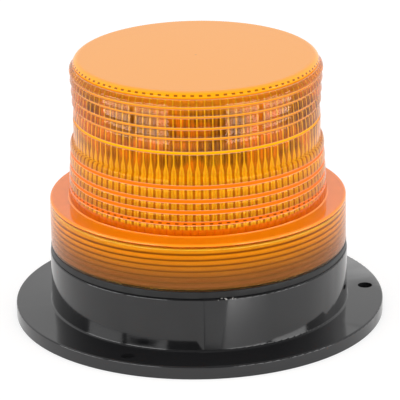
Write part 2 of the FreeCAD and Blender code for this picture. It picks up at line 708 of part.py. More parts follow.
def reflector_bracket():
    """Folded sheet: a foot on the wheel, cut out round the hub, and a narrower upright behind the mirror."""
    back = mirror_back - BRACKET_T
    foot_top_z = wheel_top_z + BRACKET_T
    foot_end = foot_x + SMALL_HEAD_D / 2 + BRACKET_MARGIN
    high = light_z + BRACKET_OVER
    fold = [(back, wheel_top_z, BRACKET_BEND + BRACKET_T), (foot_end, wheel_top_z), (foot_end, foot_top_z),
            (mirror_back, foot_top_z, BRACKET_BEND), (mirror_back, high), (back, high)]
    wide = foot_y + SMALL_HEAD_D / 2 + BRACKET_MARGIN
    half = BRACKET_W / 2
    wide_top_z = wheel_top_z + BRACKET_SHOULDER
    waist_z = light_z - PAD_D / 2
    front = [(-wide, wheel_top_z), (wide, wheel_top_z), (wide, wide_top_z), (half, waist_z),
             (half, high), (-half, high), (-half, waist_z), (-wide, wide_top_z)]
    side_wire = closed_wire(fold, lambda x, z: FreeCAD.Vector(x, -wide, z))
    front_wire = closed_wire(front, lambda y, z: FreeCAD.Vector(back, y, z))
    sheet = Part.Face(side_wire).extrude(FreeCAD.Vector(0, 2 * wide, 0))
    sheet = sheet.common(Part.Face(front_wire).extrude(FreeCAD.Vector(foot_end - back, 0, 0)))
    hole_d = SMALL_SCREW_D + 2 * SCREW_FIT
    holes = [rod(hole_d, FreeCAD.Vector(back, 0, z), FreeCAD.Vector(mirror_back, 0, z))
             for z in mirror_screw_centres()]
    for side in (1, -1):
        centre = FreeCAD.Vector(foot_x, side * foot_y, 0)
        holes.append(disc(hole_d / 2, wheel_top_z, foot_top_z, centre))
    holes.append(disc(hub_r + HUB_GAP, wheel_top_z, foot_top_z))
    return faced(sheet.cut(Part.makeCompound(holes)))


def bracket_screws():
    one = screw(SMALL_SCREW_D, SMALL_HEAD_D, SMALL_HEAD_H, BRACKET_T + WHEEL_H - SCREW_BACK)
    top = FreeCAD.Vector(0, 0, wheel_top_z + BRACKET_T)
    return together([moved(one, centre + top) for centre in bracket_screw_centres()])


def reflector_screws():
    back = mirror_back - BRACKET_T
    one = screw(SMALL_SCREW_D, SMALL_HEAD_D, SMALL_HEAD_H, mirror_screw_end() - back)
    one.rotate(FreeCAD.Vector(0, 0, 0), FreeCAD.Vector(0, 1, 0), -90)
    return together([faced(moved(one, FreeCAD.Vector(back, 0, z))) for z in mirror_screw_centres()])


# ---------------------------------------------------------------- lamp and socket
def bayonet_slots():
    """Two J-shaped slots: down from the rim, across, and up to the pin's seat."""
    half = SLOT_W / 2
    reach = shell_r + PAST
    low = pin_z - half - PRESS_TRAVEL
    high = pin_z + SHELL_TOP
    slots = []
    for side in (0, 180):
        mouth = block(0, reach, -half, half, low, high)
        mouth.rotate(FreeCAD.Vector(0, 0, 0), FreeCAD.Vector(0, 0, 1), side + SLOT_TURN)
        across = disc(reach, low, low + SLOT_W)
        wedge = plate([(0, 0), tuple(at(2 * reach, side))[:2], tuple(at(2 * reach, side + SLOT_TURN))[:2]],
                      low, low + SLOT_W)
        seat = block(0, reach, -half, half, low, pin_z + half)
        seat.rotate(FreeCAD.Vector(0, 0, 0), FreeCAD.Vector(0, 0, 1), side)
        slots += [mouth, across.common(wedge), seat]
    return Part.makeCompound(slots)


def lamp_socket():
    lip_r = shell_bore_r - SHELL_LIP
    top = pin_z + SHELL_TOP
    flange_top_z = sleeve_top_z + SHELL_FLANGE_H
    shell = turned([(lip_r, shell_z), (shell_r, shell_z), (shell_r, sleeve_top_z),
                    (shell_flange_r, sleeve_top_z), (shell_flange_r, flange_top_z), (shell_r, flange_top_z),
                    (shell_r, top), (shell_bore_r, top), (shell_bore_r, socket_base_z),
                    (lip_r, socket_base_z)])
    return shell.cut(bayonet_slots())


def socket_base():
    return ring(shell_bore_r, SEAT_SHANK_D / 2, socket_base_z, seat_z)


def spring_seat():
    shank = SEAT_SHANK_D / 2
    return turned([(0, shell_z), (shank, shell_z), (shank, seat_z), (SEAT_D / 2, seat_z),
                   (SEAT_D / 2, spring_z), (0, spring_z)])


def contact_spring():
    """Plain sleeve of the spring's outer size."""
    return ring(SPRING_D / 2, SPRING_D / 2 - SPRING_WIRE, spring_z, disc_z)


def plunger_disc():
    return ring(shell_bore_r - DISC_GAP, STEM_HOLE_D / 2, disc_z, plunger_z)


def contact_plunger():
    stem = STEM_HOLE_D / 2
    return turned([(0, disc_z), (stem, disc_z), (stem, plunger_z), (PLUNGER_D / 2, plunger_z),
                   (PLUNGER_D / 2, tip_z, PLUNGER_H / 2), (0, tip_z)])


def bulb_tip():
    return turned([(0, tip_z), (TIP_D / 2, tip_z, TIP_H / 2), (TIP_D / 2, insulator_z), (0, insulator_z)])


def bulb_insulator():
    return turned([(0, insulator_z), (cap_r - INSULATOR_INSET, insulator_z), (cap_r - CAP_EDGE, cap_z),
                   (0, cap_z)])


def bulb_cap():
    cap = turned([(0, cap_z), (cap_r, cap_z, CAP_EDGE), (cap_r, cap_top_z), (glass_neck_r, cap_top_z),
                  (glass_neck_r, cap_top_z - GLASS_SEAT), (0, cap_top_z - GLASS_SEAT)])
    half = cap_r + PIN_REACH
    pins = rod(PIN_D, FreeCAD.Vector(-half, 0, pin_z), FreeCAD.Vector(half, 0, pin_z))
    return cap.fuse(pins)


def glass_form(shrink):
    """Lamp glass as a turned pear shape, smaller by a wall where asked."""
    low = cap_top_z - GLASS_SEAT
    neck = glass_neck_r - shrink
    wide = GLASS_D / 2 - shrink
    top = light_z + GLASS_TOP - shrink
    crown_z = top - wide
    flare_z = cap_top_z + GLASS_NECK_H
    points = [FreeCAD.Vector(neck, 0, low), FreeCAD.Vector(neck, 0, flare_z),
              FreeCAD.Vector(wide, 0, crown_z), FreeCAD.Vector(0, 0, top)]
    flare = Part.BSplineCurve()
    flare.interpolate(Points=[points[1], points[2]], InitialTangent=FreeCAD.Vector(0, 0, 1),
                      FinalTangent=FreeCAD.Vector(0, 0, 1))
    diagonal = math.sqrt(0.5)
    crown = Part.Arc(points[2], FreeCAD.Vector(wide * diagonal, 0, crown_z + wide * diagonal), points[3])
    foot = FreeCAD.Vector(0, 0, low)
    edges = [Part.makeLine(points[0], points[1]), flare.toShape(), crown.toShape(),
             Part.makeLine(points[3], foot), Part.makeLine(foot, points[0])]
    face = Part.Face(Part.Wire(edges))
    return face.revolve(FreeCAD.Vector(0, 0, 0), FreeCAD.Vector(0, 0, 1), 360)


def bulb_glass():
    return glass_form(0).cut(glass_form(GLASS_WALL))


def bulb_filament():
    """Glass stem, two support wires and the coil between them."""
    low = cap_top_z - GLASS_SEAT
    stem_z = cap_top_z + STEM_RISE
    stem = disc(STEM_D / 2, low, stem_z)
    half = COIL_L / 2
    coil = rod(COIL_D, FreeCAD.Vector(0, -half, light_z), FreeCAD.Vector(0, half, light_z))
    inset = half - SUPPORT_D
    supports = [disc(SUPPORT_D / 2, stem_z - PAST, light_z, FreeCAD.Vector(0, side * inset, 0))
                for side in (1, -1)]
    return stem.multiFuse([coil] + supports)


# ---------------------------------------------------------------- wiring
def block_face_x():
    """Face of the terminal block towards the motor."""
    return BLOCK_X + BLOCK_W / 2


def terminal_block():
    half = WAY_PITCH * (WAY_COUNT - 1) / 2 + BLOCK_MARGIN
    left = BLOCK_X - BLOCK_W / 2
    top = floor_z + BLOCK_H
    body = block(left, block_face_x(), -half, half, floor_z, top)
    cuts = []
    for offset in way_offsets():
        back_end = FreeCAD.Vector(left, offset, lead_z)
        front_end = FreeCAD.Vector(block_face_x(), offset, lead_z)
        cuts.append(rod(WAY_D, back_end, front_end))
        centre = FreeCAD.Vector(BLOCK_X, offset, 0)
        cuts.append(disc(SMALL_SCREW_D / 2 + SCREW_FIT, lead_z, top, centre))
    return body.cut(Part.makeCompound(cuts))


def terminal_screws():
    """Grub screws that stop just above the ways."""
    top = floor_z + BLOCK_H
    low = lead_z + LEAD_D / 2 + END_PLAY
    return together([disc(SMALL_SCREW_D / 2, low, top - SCREW_BACK, FreeCAD.Vector(BLOCK_X, offset, 0))
                     for offset in way_offsets()])


def motor_leads():
    start = block_face_x() - LEAD_ENTRY
    return together([rod(LEAD_D, FreeCAD.Vector(start, offset, lead_z),
                         FreeCAD.Vector(terminal_tip(offset), offset, lead_z)) for offset in outer_ways()])


def lamp_lead():
    """From the middle way to the axis, then up to the spring seat."""
    start = FreeCAD.Vector(block_face_x() - LEAD_ENTRY, 0, lead_z)
    bend_start = FreeCAD.Vector(-LEAD_BEND, 0, lead_z)
    bend_end = FreeCAD.Vector(0, 0, lead_z + LEAD_BEND)
    diagonal = LEAD_BEND * math.sqrt(0.5)
    bend_middle = FreeCAD.Vector(-LEAD_BEND + diagonal, 0, lead_z + LEAD_BEND - diagonal)
    end = FreeCAD.Vector(0, 0, shell_z)
    path = Part.Wire([Part.makeLine(start, bend_start), Part.Arc(bend_start, bend_middle, bend_end).toShape(),
                      Part.makeLine(bend_end, end)])
    section = Part.Wire(Part.makeCircle(LEAD_D / 2, start, FreeCAD.Vector(1, 0, 0)))
    return path.makePipeShell([section], True, True)


def suppressor_capacitor():
    """Capacitor that stands on both motor leads."""
    low = lead_z + LEAD_D / 2 + CAPACITOR_LEG
    x = terminal_tip(outer_ways()[0]) - CAPACITOR_BACK
    half_l = CAPACITOR_L / 2
    half_w = CAPACITOR_W / 2
    corner = CAPACITOR_W / 4
    body = plate([(x - half_w, -half_l, corner), (x + half_w, -half_l, corner),
                  (x + half_w, half_l, corner), (x - half_w, half_l, corner)], low, low + CAPACITOR_H)
    legs = [disc(CAPACITOR_LEG_D / 2, lead_z + LEAD_D / 2, low + PAST, FreeCAD.Vector(x, offset, 0))
            for offset in outer_ways()]
    return body.multiFuse(legs)


# ---------------------------------------------------------------- files
NODES = (
    base_housing, lens_gasket, lens, cable_grommet,
    chassis_plate, chassis_screws, motor_can, motor_end_cap, motor_terminals, motor_screws,
    motor_shaft, drive_pinion, rotor_gear, bearing_sleeve, thrust_washer, retaining_ring,
    reflector, reflector_bracket, bracket_screws, reflector_screws,
    lamp_socket, socket_base, spring_seat, contact_spring, plunger_disc, contact_plunger,
    bulb_tip, bulb_insulator, bulb_cap, bulb_glass, bulb_filament,
    terminal_block, terminal_screws, motor_leads, lamp_lead, suppressor_capacitor,
)

os.makedirs("parts", exist_ok=True)
for node in NODES:
    node().exportStep("parts/" + node.__name__ + ".step")
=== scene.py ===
"""Rotating beacon with a screw-on amber lens: the finish of every surface, and the forms that plain solids
leave out, such as the lens's rounded prisms, its screw thread and the lamp's contact spring."""

import json
import math

import bpy
import numpy as np
from mathutils import Matrix, Vector


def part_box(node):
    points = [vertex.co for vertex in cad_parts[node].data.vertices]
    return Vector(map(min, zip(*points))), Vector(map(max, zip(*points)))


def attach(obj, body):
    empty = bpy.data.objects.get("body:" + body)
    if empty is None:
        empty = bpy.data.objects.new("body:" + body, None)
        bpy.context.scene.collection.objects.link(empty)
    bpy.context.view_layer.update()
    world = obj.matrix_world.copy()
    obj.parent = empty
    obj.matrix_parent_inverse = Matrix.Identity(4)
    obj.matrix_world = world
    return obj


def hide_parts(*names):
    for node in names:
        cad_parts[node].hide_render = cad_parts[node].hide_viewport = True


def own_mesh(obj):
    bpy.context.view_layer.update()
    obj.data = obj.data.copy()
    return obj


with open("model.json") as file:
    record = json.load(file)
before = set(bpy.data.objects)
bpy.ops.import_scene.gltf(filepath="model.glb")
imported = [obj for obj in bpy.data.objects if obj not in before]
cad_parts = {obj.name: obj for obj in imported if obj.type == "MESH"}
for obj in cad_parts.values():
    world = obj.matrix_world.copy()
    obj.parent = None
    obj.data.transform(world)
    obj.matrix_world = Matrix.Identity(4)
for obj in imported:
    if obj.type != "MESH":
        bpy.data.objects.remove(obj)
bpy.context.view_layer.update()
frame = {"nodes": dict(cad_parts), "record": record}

bl_info = {
    "name": "Rotating Beacon",
    "version": (1, 0, 0),
    "blender": (4, 5, 0),
    "location": "View3D > Sidebar > Beacon",
    "description": "Builds the finished surfaces of a flange-mounted rotating beacon round its solid parts",
    "category": "Object",
}

MM = 0.001
TURN = 2 * math.pi
LENS_EDGE = math.radians(50.0)
SOLID_EDGE = math.radians(30.0)


# ---------------------------------------------------------------- sizes and colours
class LensSettings(bpy.types.PropertyGroup):
    """Sizes and colours of the screw-on lens."""

    flutes: bpy.props.IntProperty(
        name="Flutes", description="Vertical flutes round the inside of the dome", default=96, min=12)
    flute_depth: bpy.props.FloatProperty(
        name="Flute depth", description="How far a flute's ridge stands out of the wall", default=0.55 * MM,
        unit="LENGTH")
    thread_pitch: bpy.props.FloatProperty(
        name="Thread pitch", description="Rise of the collar's thread in one turn", default=2.117 * MM,
        unit="LENGTH")
    thread_depth: bpy.props.FloatProperty(
        name="Thread depth", description="Depth of the thread in the collar's wall", default=0.75 * MM,
        unit="LENGTH")
    clear_tint: bpy.props.FloatVectorProperty(
        name="Clear tint", description="Amber of the polished outer wall, seen through once",
        default=(1.0, 0.94, 0.7), min=0, max=1, subtype="COLOR")
    # Painted light and painted shade: the lens's inner wall is opaque, and the next two colours stand in for
    # the light that the prisms bring in and for the dark inside that they show.
    bright: bpy.props.FloatVectorProperty(
        name="Bright prisms", description="Amber where the prisms throw light back",
        default=(1.0, 0.56, 0.015), min=0, max=1, subtype="COLOR")
    deep: bpy.props.FloatVectorProperty(
        name="Deep cells", description="Amber where the prisms look into the dark inside",
        default=(0.9, 0.22, 0.002), min=0, max=1, subtype="COLOR")


class StudioSettings(bpy.types.PropertyGroup):
    """Camera and light."""

    focal_length: bpy.props.FloatProperty(
        name="Focal length", description="Lens of the camera, in millimetres", default=258.78)
    distance: bpy.props.FloatProperty(
        name="Distance", description="From the camera to the point it aims at", default=1.046, unit="LENGTH")
    elevation: bpy.props.FloatProperty(
        name="Elevation", description="Height of the camera above the horizon", default=math.radians(19.83),
        subtype="ANGLE")
    roll: bpy.props.FloatProperty(
        name="Roll", description="Tilt of the camera about its view", default=math.radians(0.926),
        subtype="ANGLE")
    world_level: bpy.props.FloatProperty(
        name="World level", description="Strength of the white room round the beacon", default=0.9, min=0)
    dim_side: bpy.props.FloatProperty(
        name="Dim side", description="Strength of the room behind the camera, as gloss shows it", default=0.2,
        min=0)
    softbox_level: bpy.props.FloatProperty(
        name="Softbox level", description="Brightness of the softboxes", default=6.0, min=0)
    aim_height: bpy.props.FloatProperty(
        name="Aim height", description="Height of the point that the camera aims at", default=50.625 * MM,
        unit="LENGTH")
    shift: bpy.props.FloatVectorProperty(
        name="Shift", description="Shift of the camera's picture, across and up", default=(0.00575, -0.0583),
        size=2)
    floor_half: bpy.props.FloatProperty(
        name="Floor", description="Half the width of the floor", default=3.0, unit="LENGTH")


class FinishSettings(bpy.types.PropertyGroup):
    """Colours of the other finishes, and the contact spring's wire."""

    black: bpy.props.FloatVectorProperty(
        name="Housing black", description="Moulded black of the base", default=(0.007, 0.007, 0.0075),
        min=0, max=1, subtype="COLOR")
    rubber: bpy.props.FloatVectorProperty(
        name="Rubber", description="Black of the seals", default=(0.016, 0.016, 0.016),
        min=0, max=1, subtype="COLOR")
    steel: bpy.props.FloatVectorProperty(
        name="Steel", description="Plated and ground steel", default=(0.66, 0.67, 0.67),
        min=0, max=1, subtype="COLOR")
    brass: bpy.props.FloatVectorProperty(
        name="Brass", description="Turned and pressed brass", default=(0.78, 0.57, 0.25),
        min=0, max=1, subtype="COLOR")
    acetal: bpy.props.FloatVectorProperty(
        name="White plastic", description="Gear and terminal block", default=(0.78, 0.77, 0.72),
        min=0, max=1, subtype="COLOR")
    laminate: bpy.props.FloatVectorProperty(
        name="Brown laminate", description="Punched insulating board", default=(0.2, 0.09, 0.035),
        min=0, max=1, subtype="COLOR")
    spring_wire: bpy.props.FloatProperty(
        name="Spring wire", description="Diameter of the contact spring's wire", default=0.5 * MM,
        unit="LENGTH")


# ---------------------------------------------------------------- turned meshes
def arc(centre_r, centre_z, radius, start, end, count=6):
    """Rounded corner. Radius and height follow a circle from one angle to another, in degrees."""
    angle = np.radians(np.linspace(start, end, count))
    return np.column_stack([centre_r + radius * np.cos(angle), centre_z + radius * np.sin(angle)])


def run(r0, z0, r1, z1, count=2):
    """Straight stretch of a profile, both ends included."""
    return np.column_stack([np.linspace(r0, r1, count), np.linspace(z0, z1, count)])


def ring_quads(rows, columns, first=0):
    """Faces between neighbouring rows of a closed tube, whose first point has the number first."""
    row, column = np.meshgrid(np.arange(rows - 1), np.arange(columns), indexing="ij")
    here, above = first + row * columns, first + (row + 1) * columns
    following = (column + 1) % columns
    faces = np.stack([here + column, here + following, above + following, above + column], axis=2)
    return faces.reshape(-1, 4).tolist()


def fan(tip, first, columns, backwards=False):
    """Faces that close a ring of points with its tip. They look along the tube, or back down it."""
    column = np.arange(columns)
    following = (column + 1) % columns
    if backwards:
        column, following = following, column
    return np.stack([np.full_like(column, tip), first + column, first + following], axis=1).tolist()


class Wall:
    """One stretch of a turned shell: rows of radii and heights, each row round the whole turn.
    The radius is one number a row, or one a point where the wall isn't round."""

    def __init__(self, radius, height, columns, finish, groove=None):
        self.height = np.asarray(height, float)
        rows = len(self.height)
        self.radius = np.broadcast_to(np.asarray(radius, float).reshape(rows, -1), (rows, columns))
        self.columns = columns
        self.finish = finish
        self.groove = np.zeros(rows) if groove is None else groove

    @classmethod
    def of(cls, profile, columns, finish, groove=None):
        return cls(profile[:, 0], profile[:, 1], columns, finish, groove)

    def points(self):
        """x = r cos t, y = r sin t, z = h, with t in equal steps round the turn."""
        turn = np.arange(self.columns) * TURN / self.columns
        height = np.broadcast_to(self.height[:, None], self.radius.shape)
        grid = np.stack([self.radius * np.cos(turn), self.radius * np.sin(turn), height], axis=2)
        return grid.reshape(-1, 3)


def seam(low_first, low_columns, high_first, high_columns):
    """Faces between two rings, of which one may have a whole number of times the other's points."""
    few = min(low_columns, high_columns)
    corner = np.arange(few)[:, None]
    low = (corner * (low_columns // few) + np.arange(low_columns // few + 1)) % low_columns + low_first
    high = (corner * (high_columns // few) + np.arange(high_columns // few + 1)) % high_columns + high_first
    return np.concatenate([low, high[:, ::-1]], axis=1).tolist()


def turned_shell(name, walls, finishes):
    """Closed shell of turned walls joined in order, each end closed with a fan to the axis. Its point
    attribute groove says how deep in a groove a point lies, from 0 to 1."""
    points, faces, finish, groove = [], [], [], []
    first = 0
    ring = None
    for wall in walls:
        fresh = seam(*ring, first, wall.columns) if ring else []
        fresh += ring_quads(len(wall.height), wall.columns, first)
        faces += fresh
        finish += [wall.finish] * len(fresh)
        points.append(wall.points())
        groove.append(np.repeat(wall.groove, wall.columns))
        ring = (first + (len(wall.height) - 1) * wall.columns, wall.columns)
        first += len(points[-1])
    start, end = walls[0], walls[-1]
    points.append([[0, 0, start.height[0]], [0, 0, end.height[-1]]])
    groove.append([0, 0])
    for wall, cap in ((start, fan(first, 0, start.columns, backwards=True)),
                      (end, fan(first + 1, ring[0], end.columns))):
        faces += cap
        finish += [wall.finish] * len(cap)
    mesh = bpy.data.meshes.new(name)
    mesh.from_pydata((np.concatenate(points) * MM).tolist(), [], faces)
    mesh.polygons.foreach_set("material_index", np.array(finish, np.int32))
    depth = mesh.attributes.new("groove", "FLOAT", "POINT")
    depth.data.foreach_set("value", np.concatenate(groove).astype(np.float32))
    mesh.shade_smooth()
    mesh.set_sharp_from_angle(angle=LENS_EDGE)
    for material in finishes:
        mesh.materials.append(material)
    return link(name, mesh)


def link(name, mesh):
    """Object for a finished mesh, in the scene, at the origin."""
    piece = bpy.data.objects.new(name, mesh)
    bpy.context.scene.collection.objects.link(piece)
    return piece


# ---------------------------------------------------------------- lens shape
# Points round a plain wall and round the fluted one, and the finishes of the lens in their order.
COLUMNS = 192
FLUTE_COLUMNS = 576
OUTER, PRISM, INNER, FLUTED, THREADED, CROWN, LEDGE = range(7)

# Sizes of the lens in millimetres, beside those that its box gives. Heights are over the mounting face.
COLLAR_HEIGHT = 17.6
COLLAR_WALL = 2.0
LEDGE_WIDTH = 7.0
LEDGE_WALL = 2.2
ROOF_WALL = 2.5
INSIDE_TOP_R = 41.5
INSIDE_FOOT_R = 42.4
STEP_Z = 66.0
BAND_Z = 67.6
PRISM_Z = 75.2
LOWER_GROOVES = (49.9, 54.0, 58.0, 63.0)
UPPER_GROOVES = (PRISM_Z, 80.3, 84.1, 88.4, 91.8, 95.2)
LOWER_DASH_Z = 49.7
CROWN_DASH_Z = 96.0


def ringed_wall(heights, radii, grooves, width, depth, bulge, leans):
    """Profile of a ringed wall and how deep in a groove each of its points lies. The radius runs straight
    between the given heights and radii, plus bulge times (1 - u squared) and less the ring's lean times
    (u + 1) / 2, where u runs from -1 to 1 between neighbouring grooves, and less depth times
    exp(-((z - g) / width) squared) for each groove's height g."""
    knots = np.unique([heights[0], *grooves, heights[-1]])
    steps = [np.linspace(a, b, 9) for a, b in zip(knots[:-1], knots[1:])]
    steps += [g + width * np.linspace(-2, 2, 11) for g in grooves]
    height = np.unique(np.round(np.concatenate(steps), 6))
    height = height[(height >= heights[0]) & (height <= heights[-1])]
    band = np.clip(np.searchsorted(knots, height, side="right") - 1, 0, len(knots) - 2)
    u = 2 * (height - knots[band]) / (knots[band + 1] - knots[band]) - 1
    dip = np.exp(-((height[:, None] - np.array(grooves)) / width) ** 2).max(axis=1)
    lean = np.array(leans)[band] * (u + 1) / 2
    radius = np.interp(height, heights, radii) + bulge * (1 - u ** 2) - lean
    return np.column_stack([radius - depth * dip, height]), dip


def fluted_wall(settings, foot_z, roof_z):
    """Inside of the dome, downwards. The radius runs straight between its top and its foot, less the flute's
    depth times |2 f - 1| cubed, where f is the place across a flute, from 0 to 1."""
    turn = np.arange(FLUTE_COLUMNS) / FLUTE_COLUMNS
    ridge = np.abs(2 * ((turn * settings.flutes) % 1.0) - 1) ** 3
    rows = np.linspace(roof_z - 0.3, foot_z - 0.2, 26)
    root = np.interp(rows, [foot_z, roof_z], [INSIDE_FOOT_R, INSIDE_TOP_R])
    return Wall(root[:, None] - settings.flute_depth / MM * ridge[None, :], rows, FLUTE_COLUMNS, FLUTED)


def threaded_wall(settings, bore_r, low, top):
    """Bore of the collar, downwards, with a right-hand thread. The radius grows by the thread's depth times a
    cosine wave of (height / pitch - turn), clipped flat on its crests and roots, and the thread fades out
    towards both ends."""
    clearance, run_out = 0.05, 1.5
    height = np.linspace(top, low + 0.2, 84)
    turn = np.arange(COLUMNS) / COLUMNS
    wave = 0.5 - 0.5 * np.cos(TURN * (height[:, None] * MM / settings.thread_pitch - turn[None, :]))
    fade = np.clip((top - height) / run_out, 0, 1) * np.clip((height - low - 0.4) / run_out, 0, 1)
    depth = settings.thread_depth / MM * np.clip(1.6 * wave - 0.3, 0, 1) * fade[:, None]
    return Wall(bore_r + clearance + depth, height, COLUMNS, THREADED)


def lens_walls(settings):
    """Walls of the lens in order: under the roof, down the fluted inside, across the collar's roof, down the
    threaded bore, and up the outside to the crown. In millimetres."""
    low, high = (corner.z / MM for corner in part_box("lens"))
    collar_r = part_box("lens")[1].x / MM
    ledge_z = low + COLLAR_HEIGHT
    ceiling_z = ledge_z - LEDGE_WALL
    roof_z = high - ROOF_WALL
    dome_r = collar_r - LEDGE_WIDTH
    bore_r = collar_r - COLLAR_WALL
    foot = np.concatenate([
        run(collar_r - 1.9, low, collar_r - 0.4, low, 4),
        arc(collar_r - 0.35, low + 0.35, 0.35, -90, 0),
        run(collar_r, low + 0.6, collar_r, ledge_z - 0.8, 6)])
    ledge = np.concatenate([
        arc(collar_r - 0.7, ledge_z - 0.7, 0.7, 0, 90),
        run(collar_r - 1.2, ledge_z, dome_r + 0.9, ledge_z, 6),
        arc(dome_r + 0.5, ledge_z + 0.5, 0.5, 270, 180)])
    lower, lower_dip = ringed_wall(
        (ledge_z + 0.9, STEP_Z), (dome_r + 0.1, 45.85), LOWER_GROOVES, width=0.55, depth=0.45, bulge=0.12,
        leans=(0.25, 0.25, 0.25, 0.25, 0.1))
    step = np.concatenate([
        arc(44.9, STEP_Z, 0.7, 20, 90, 5),
        arc(44.9, BAND_Z - 0.4, 0.25, 250, 180, 4)])
    band, band_dip = ringed_wall(
        (BAND_Z, PRISM_Z), (44.62, 44.75), (PRISM_Z,), width=0.42, depth=0.7, bulge=0.0, leans=(0.0,))
    upper, upper_dip = ringed_wall(
        (PRISM_Z + 0.05, 90.0, 93.5, 95.7), (44.75, 45.7, 45.9, 44.4), UPPER_GROOVES, width=0.42, depth=0.7,
        bulge=0.03, leans=(0.0, 0.95, 0.9, 1.1, 0.88, 0.88, 0.0))
    crown = np.concatenate([
        arc(42.0, high - 2.5, 2.5, 30, 88, 8),
        run(41.5, high, 2.0, high, 12)])
    return [
        Wall.of(run(2.0, roof_z, INSIDE_TOP_R - 1.2, roof_z, 10), COLUMNS, INNER),
        fluted_wall(settings, ceiling_z, roof_z),
        Wall.of(run(43.2, ceiling_z, bore_r - 0.8, ceiling_z, 6), COLUMNS, INNER),
        Wall.of(arc(bore_r - 0.55, ceiling_z - 0.55, 0.6, 90, 0), COLUMNS, INNER),
        threaded_wall(settings, bore_r, low, ceiling_z - 0.8),
        Wall.of(foot, COLUMNS, OUTER),
        Wall.of(ledge, COLUMNS, LEDGE),
        Wall.of(lower, COLUMNS, OUTER, lower_dip),
        Wall.of(step, COLUMNS, OUTER),
        Wall.of(band, COLUMNS, OUTER, band_dip),
        Wall.of(upper, COLUMNS, PRISM, upper_dip),
        Wall.of(crown, COLUMNS, CROWN),
    ]


# ---------------------------------------------------------------- node materials
class Nodes:
    """A node tree, put together by calls that return sockets."""

    def __init__(self, tree):
        self.tree = tree

    def add(self, kind, *inputs, **settings):
        """New node of a kind, with its settings, and its inputs in order as numbers, colours or sockets."""
        node = self.tree.nodes.new("ShaderNode" + kind)
        for setting, value in settings.items():
            setattr(node, setting, value)
        for socket, value in zip(node.inputs, inputs):
            self.feed(socket, value)
        return node

    def feed(self, socket, value):
        """Links a socket to another, or sets it to a number or colour. None leaves it as it is."""
        if isinstance(value, bpy.types.NodeSocket):
            self.tree.links.new(value, socket)
        elif value is not None:
            socket.default_value = value

    def math(self, operation, *values):
        """One step of arithmetic."""
        return self.add("Math", *values, operation=operation).outputs[0]

    def spot(self, stretch=(1.0, 1.0, 1.0)):
        """Place on the piece, in millimetres, stretched along x, y and z."""
        place = self.add("TexCoord").outputs["Object"]
        return self.add("VectorMath", place, tuple(k / MM for k in stretch), operation="MULTIPLY").outputs[0]

    def place(self):
        """x, y and z on the piece, in millimetres."""
        return self.add("SeparateXYZ", self.spot()).outputs

    def step(self, value, low, high):
        """0 below low, 1 above high, and smooth between."""
        node = self.add("MapRange", value, low, high, 0.0, 1.0, interpolation_type="SMOOTHSTEP")
        return node.outputs[0]

    def between(self, value, low, high):
        """From low to high as a noise goes from its low to its high values."""
        return self.add("MapRange", value, 0.3, 0.7, low, high).outputs[0]

    def rest(self, share):
        """What is left of 1."""
        return self.math("SUBTRACT", 1.0, share)

    def length(self, x, y):
        """Length of a flat arrow."""
        return self.math("SQRT", self.math("MULTIPLY_ADD", x, x, self.math("MULTIPLY", y, y)))

    def blend(self, factor, first, second):
        """Colour between two."""
        node = self.add("Mix", data_type="RGBA")
        self.feed(node.inputs[0], factor)
        for socket, colour in ((node.inputs[6], first), (node.inputs[7], second)):
            self.feed(socket, (*colour, 1) if isinstance(colour, tuple) else colour)
        return node.outputs[2]

    def noise(self, vector, scale, detail=2.0):
        """Soft noise in space, mostly between 0.3 and 0.7."""
        node = self.add("TexNoise")
        self.feed(node.inputs["Vector"], vector)
        node.inputs["Scale"].default_value = scale
        node.inputs["Detail"].default_value = detail
        return node.outputs[0]

    def vector(self, x, y, z):
        """Arrow of three numbers."""
        return self.add("CombineXYZ", x, y, z).outputs[0]


class Finish(Nodes):
    """A material of one shader, whose plain numbers are set by the names of its sockets."""

    def __init__(self, name, roughness=0.5, **sockets):
        self.material = bpy.data.materials.new(name)
        self.material.use_nodes = True
        super().__init__(self.material.node_tree)
        self.shader = self.tree.nodes["Principled BSDF"]
        self.shader.inputs["Roughness"].default_value = roughness
        for socket, value in sockets.items():
            self.shader.inputs[socket.replace("_", " ")].default_value = value

    def drift(self, colour, scale, darker, paler):
        """A colour that wanders slowly between a darker and a paler shade of itself."""
        wander = self.step(self.noise(self.spot(), scale, 3.0), 0.3, 0.7)
        return self.blend(wander, shade(colour, darker), shade(colour, paler))

    def paint(self, colour):
        """Sets the colour, which may be the same all over or a socket."""
        self.feed(self.shader.inputs["Base Color"], (*colour, 1) if isinstance(colour, tuple) else colour)

    def polish(self, roughness):
        """Sets how rough the surface is, from a socket."""
        self.feed(self.shader.inputs["Roughness"], roughness)

    def relief(self, height, depth):
        """Bump whose full height stands for a depth in millimetres."""
        bump = self.add("Bump")
        bump.inputs["Distance"].default_value = depth * MM
        self.feed(bump.inputs["Height"], height)
        self.feed(self.shader.inputs["Normal"], bump.outputs[0])


def flute_phase(finish, settings):
    """How far from the middle of a flute, 0, to its ridge, 1; the flutes counted round; and the height."""
    x, y, z = finish.place()
    count = finish.math("MULTIPLY", finish.math("ARCTAN2", y, x), settings.flutes / TURN)
    saw = finish.math("FRACT", count)
    across = finish.math("ABSOLUTE", finish.math("MULTIPLY_ADD", saw, 2.0, -1.0))
    return across, count, z


def near(finish, height, centre, half, soft):
    """1 on a level line round the wall, fading to 0 past its half width."""
    away = finish.math("ABSOLUTE", finish.math("SUBTRACT", height, centre))
    return finish.rest(finish.step(away, half, half + soft))


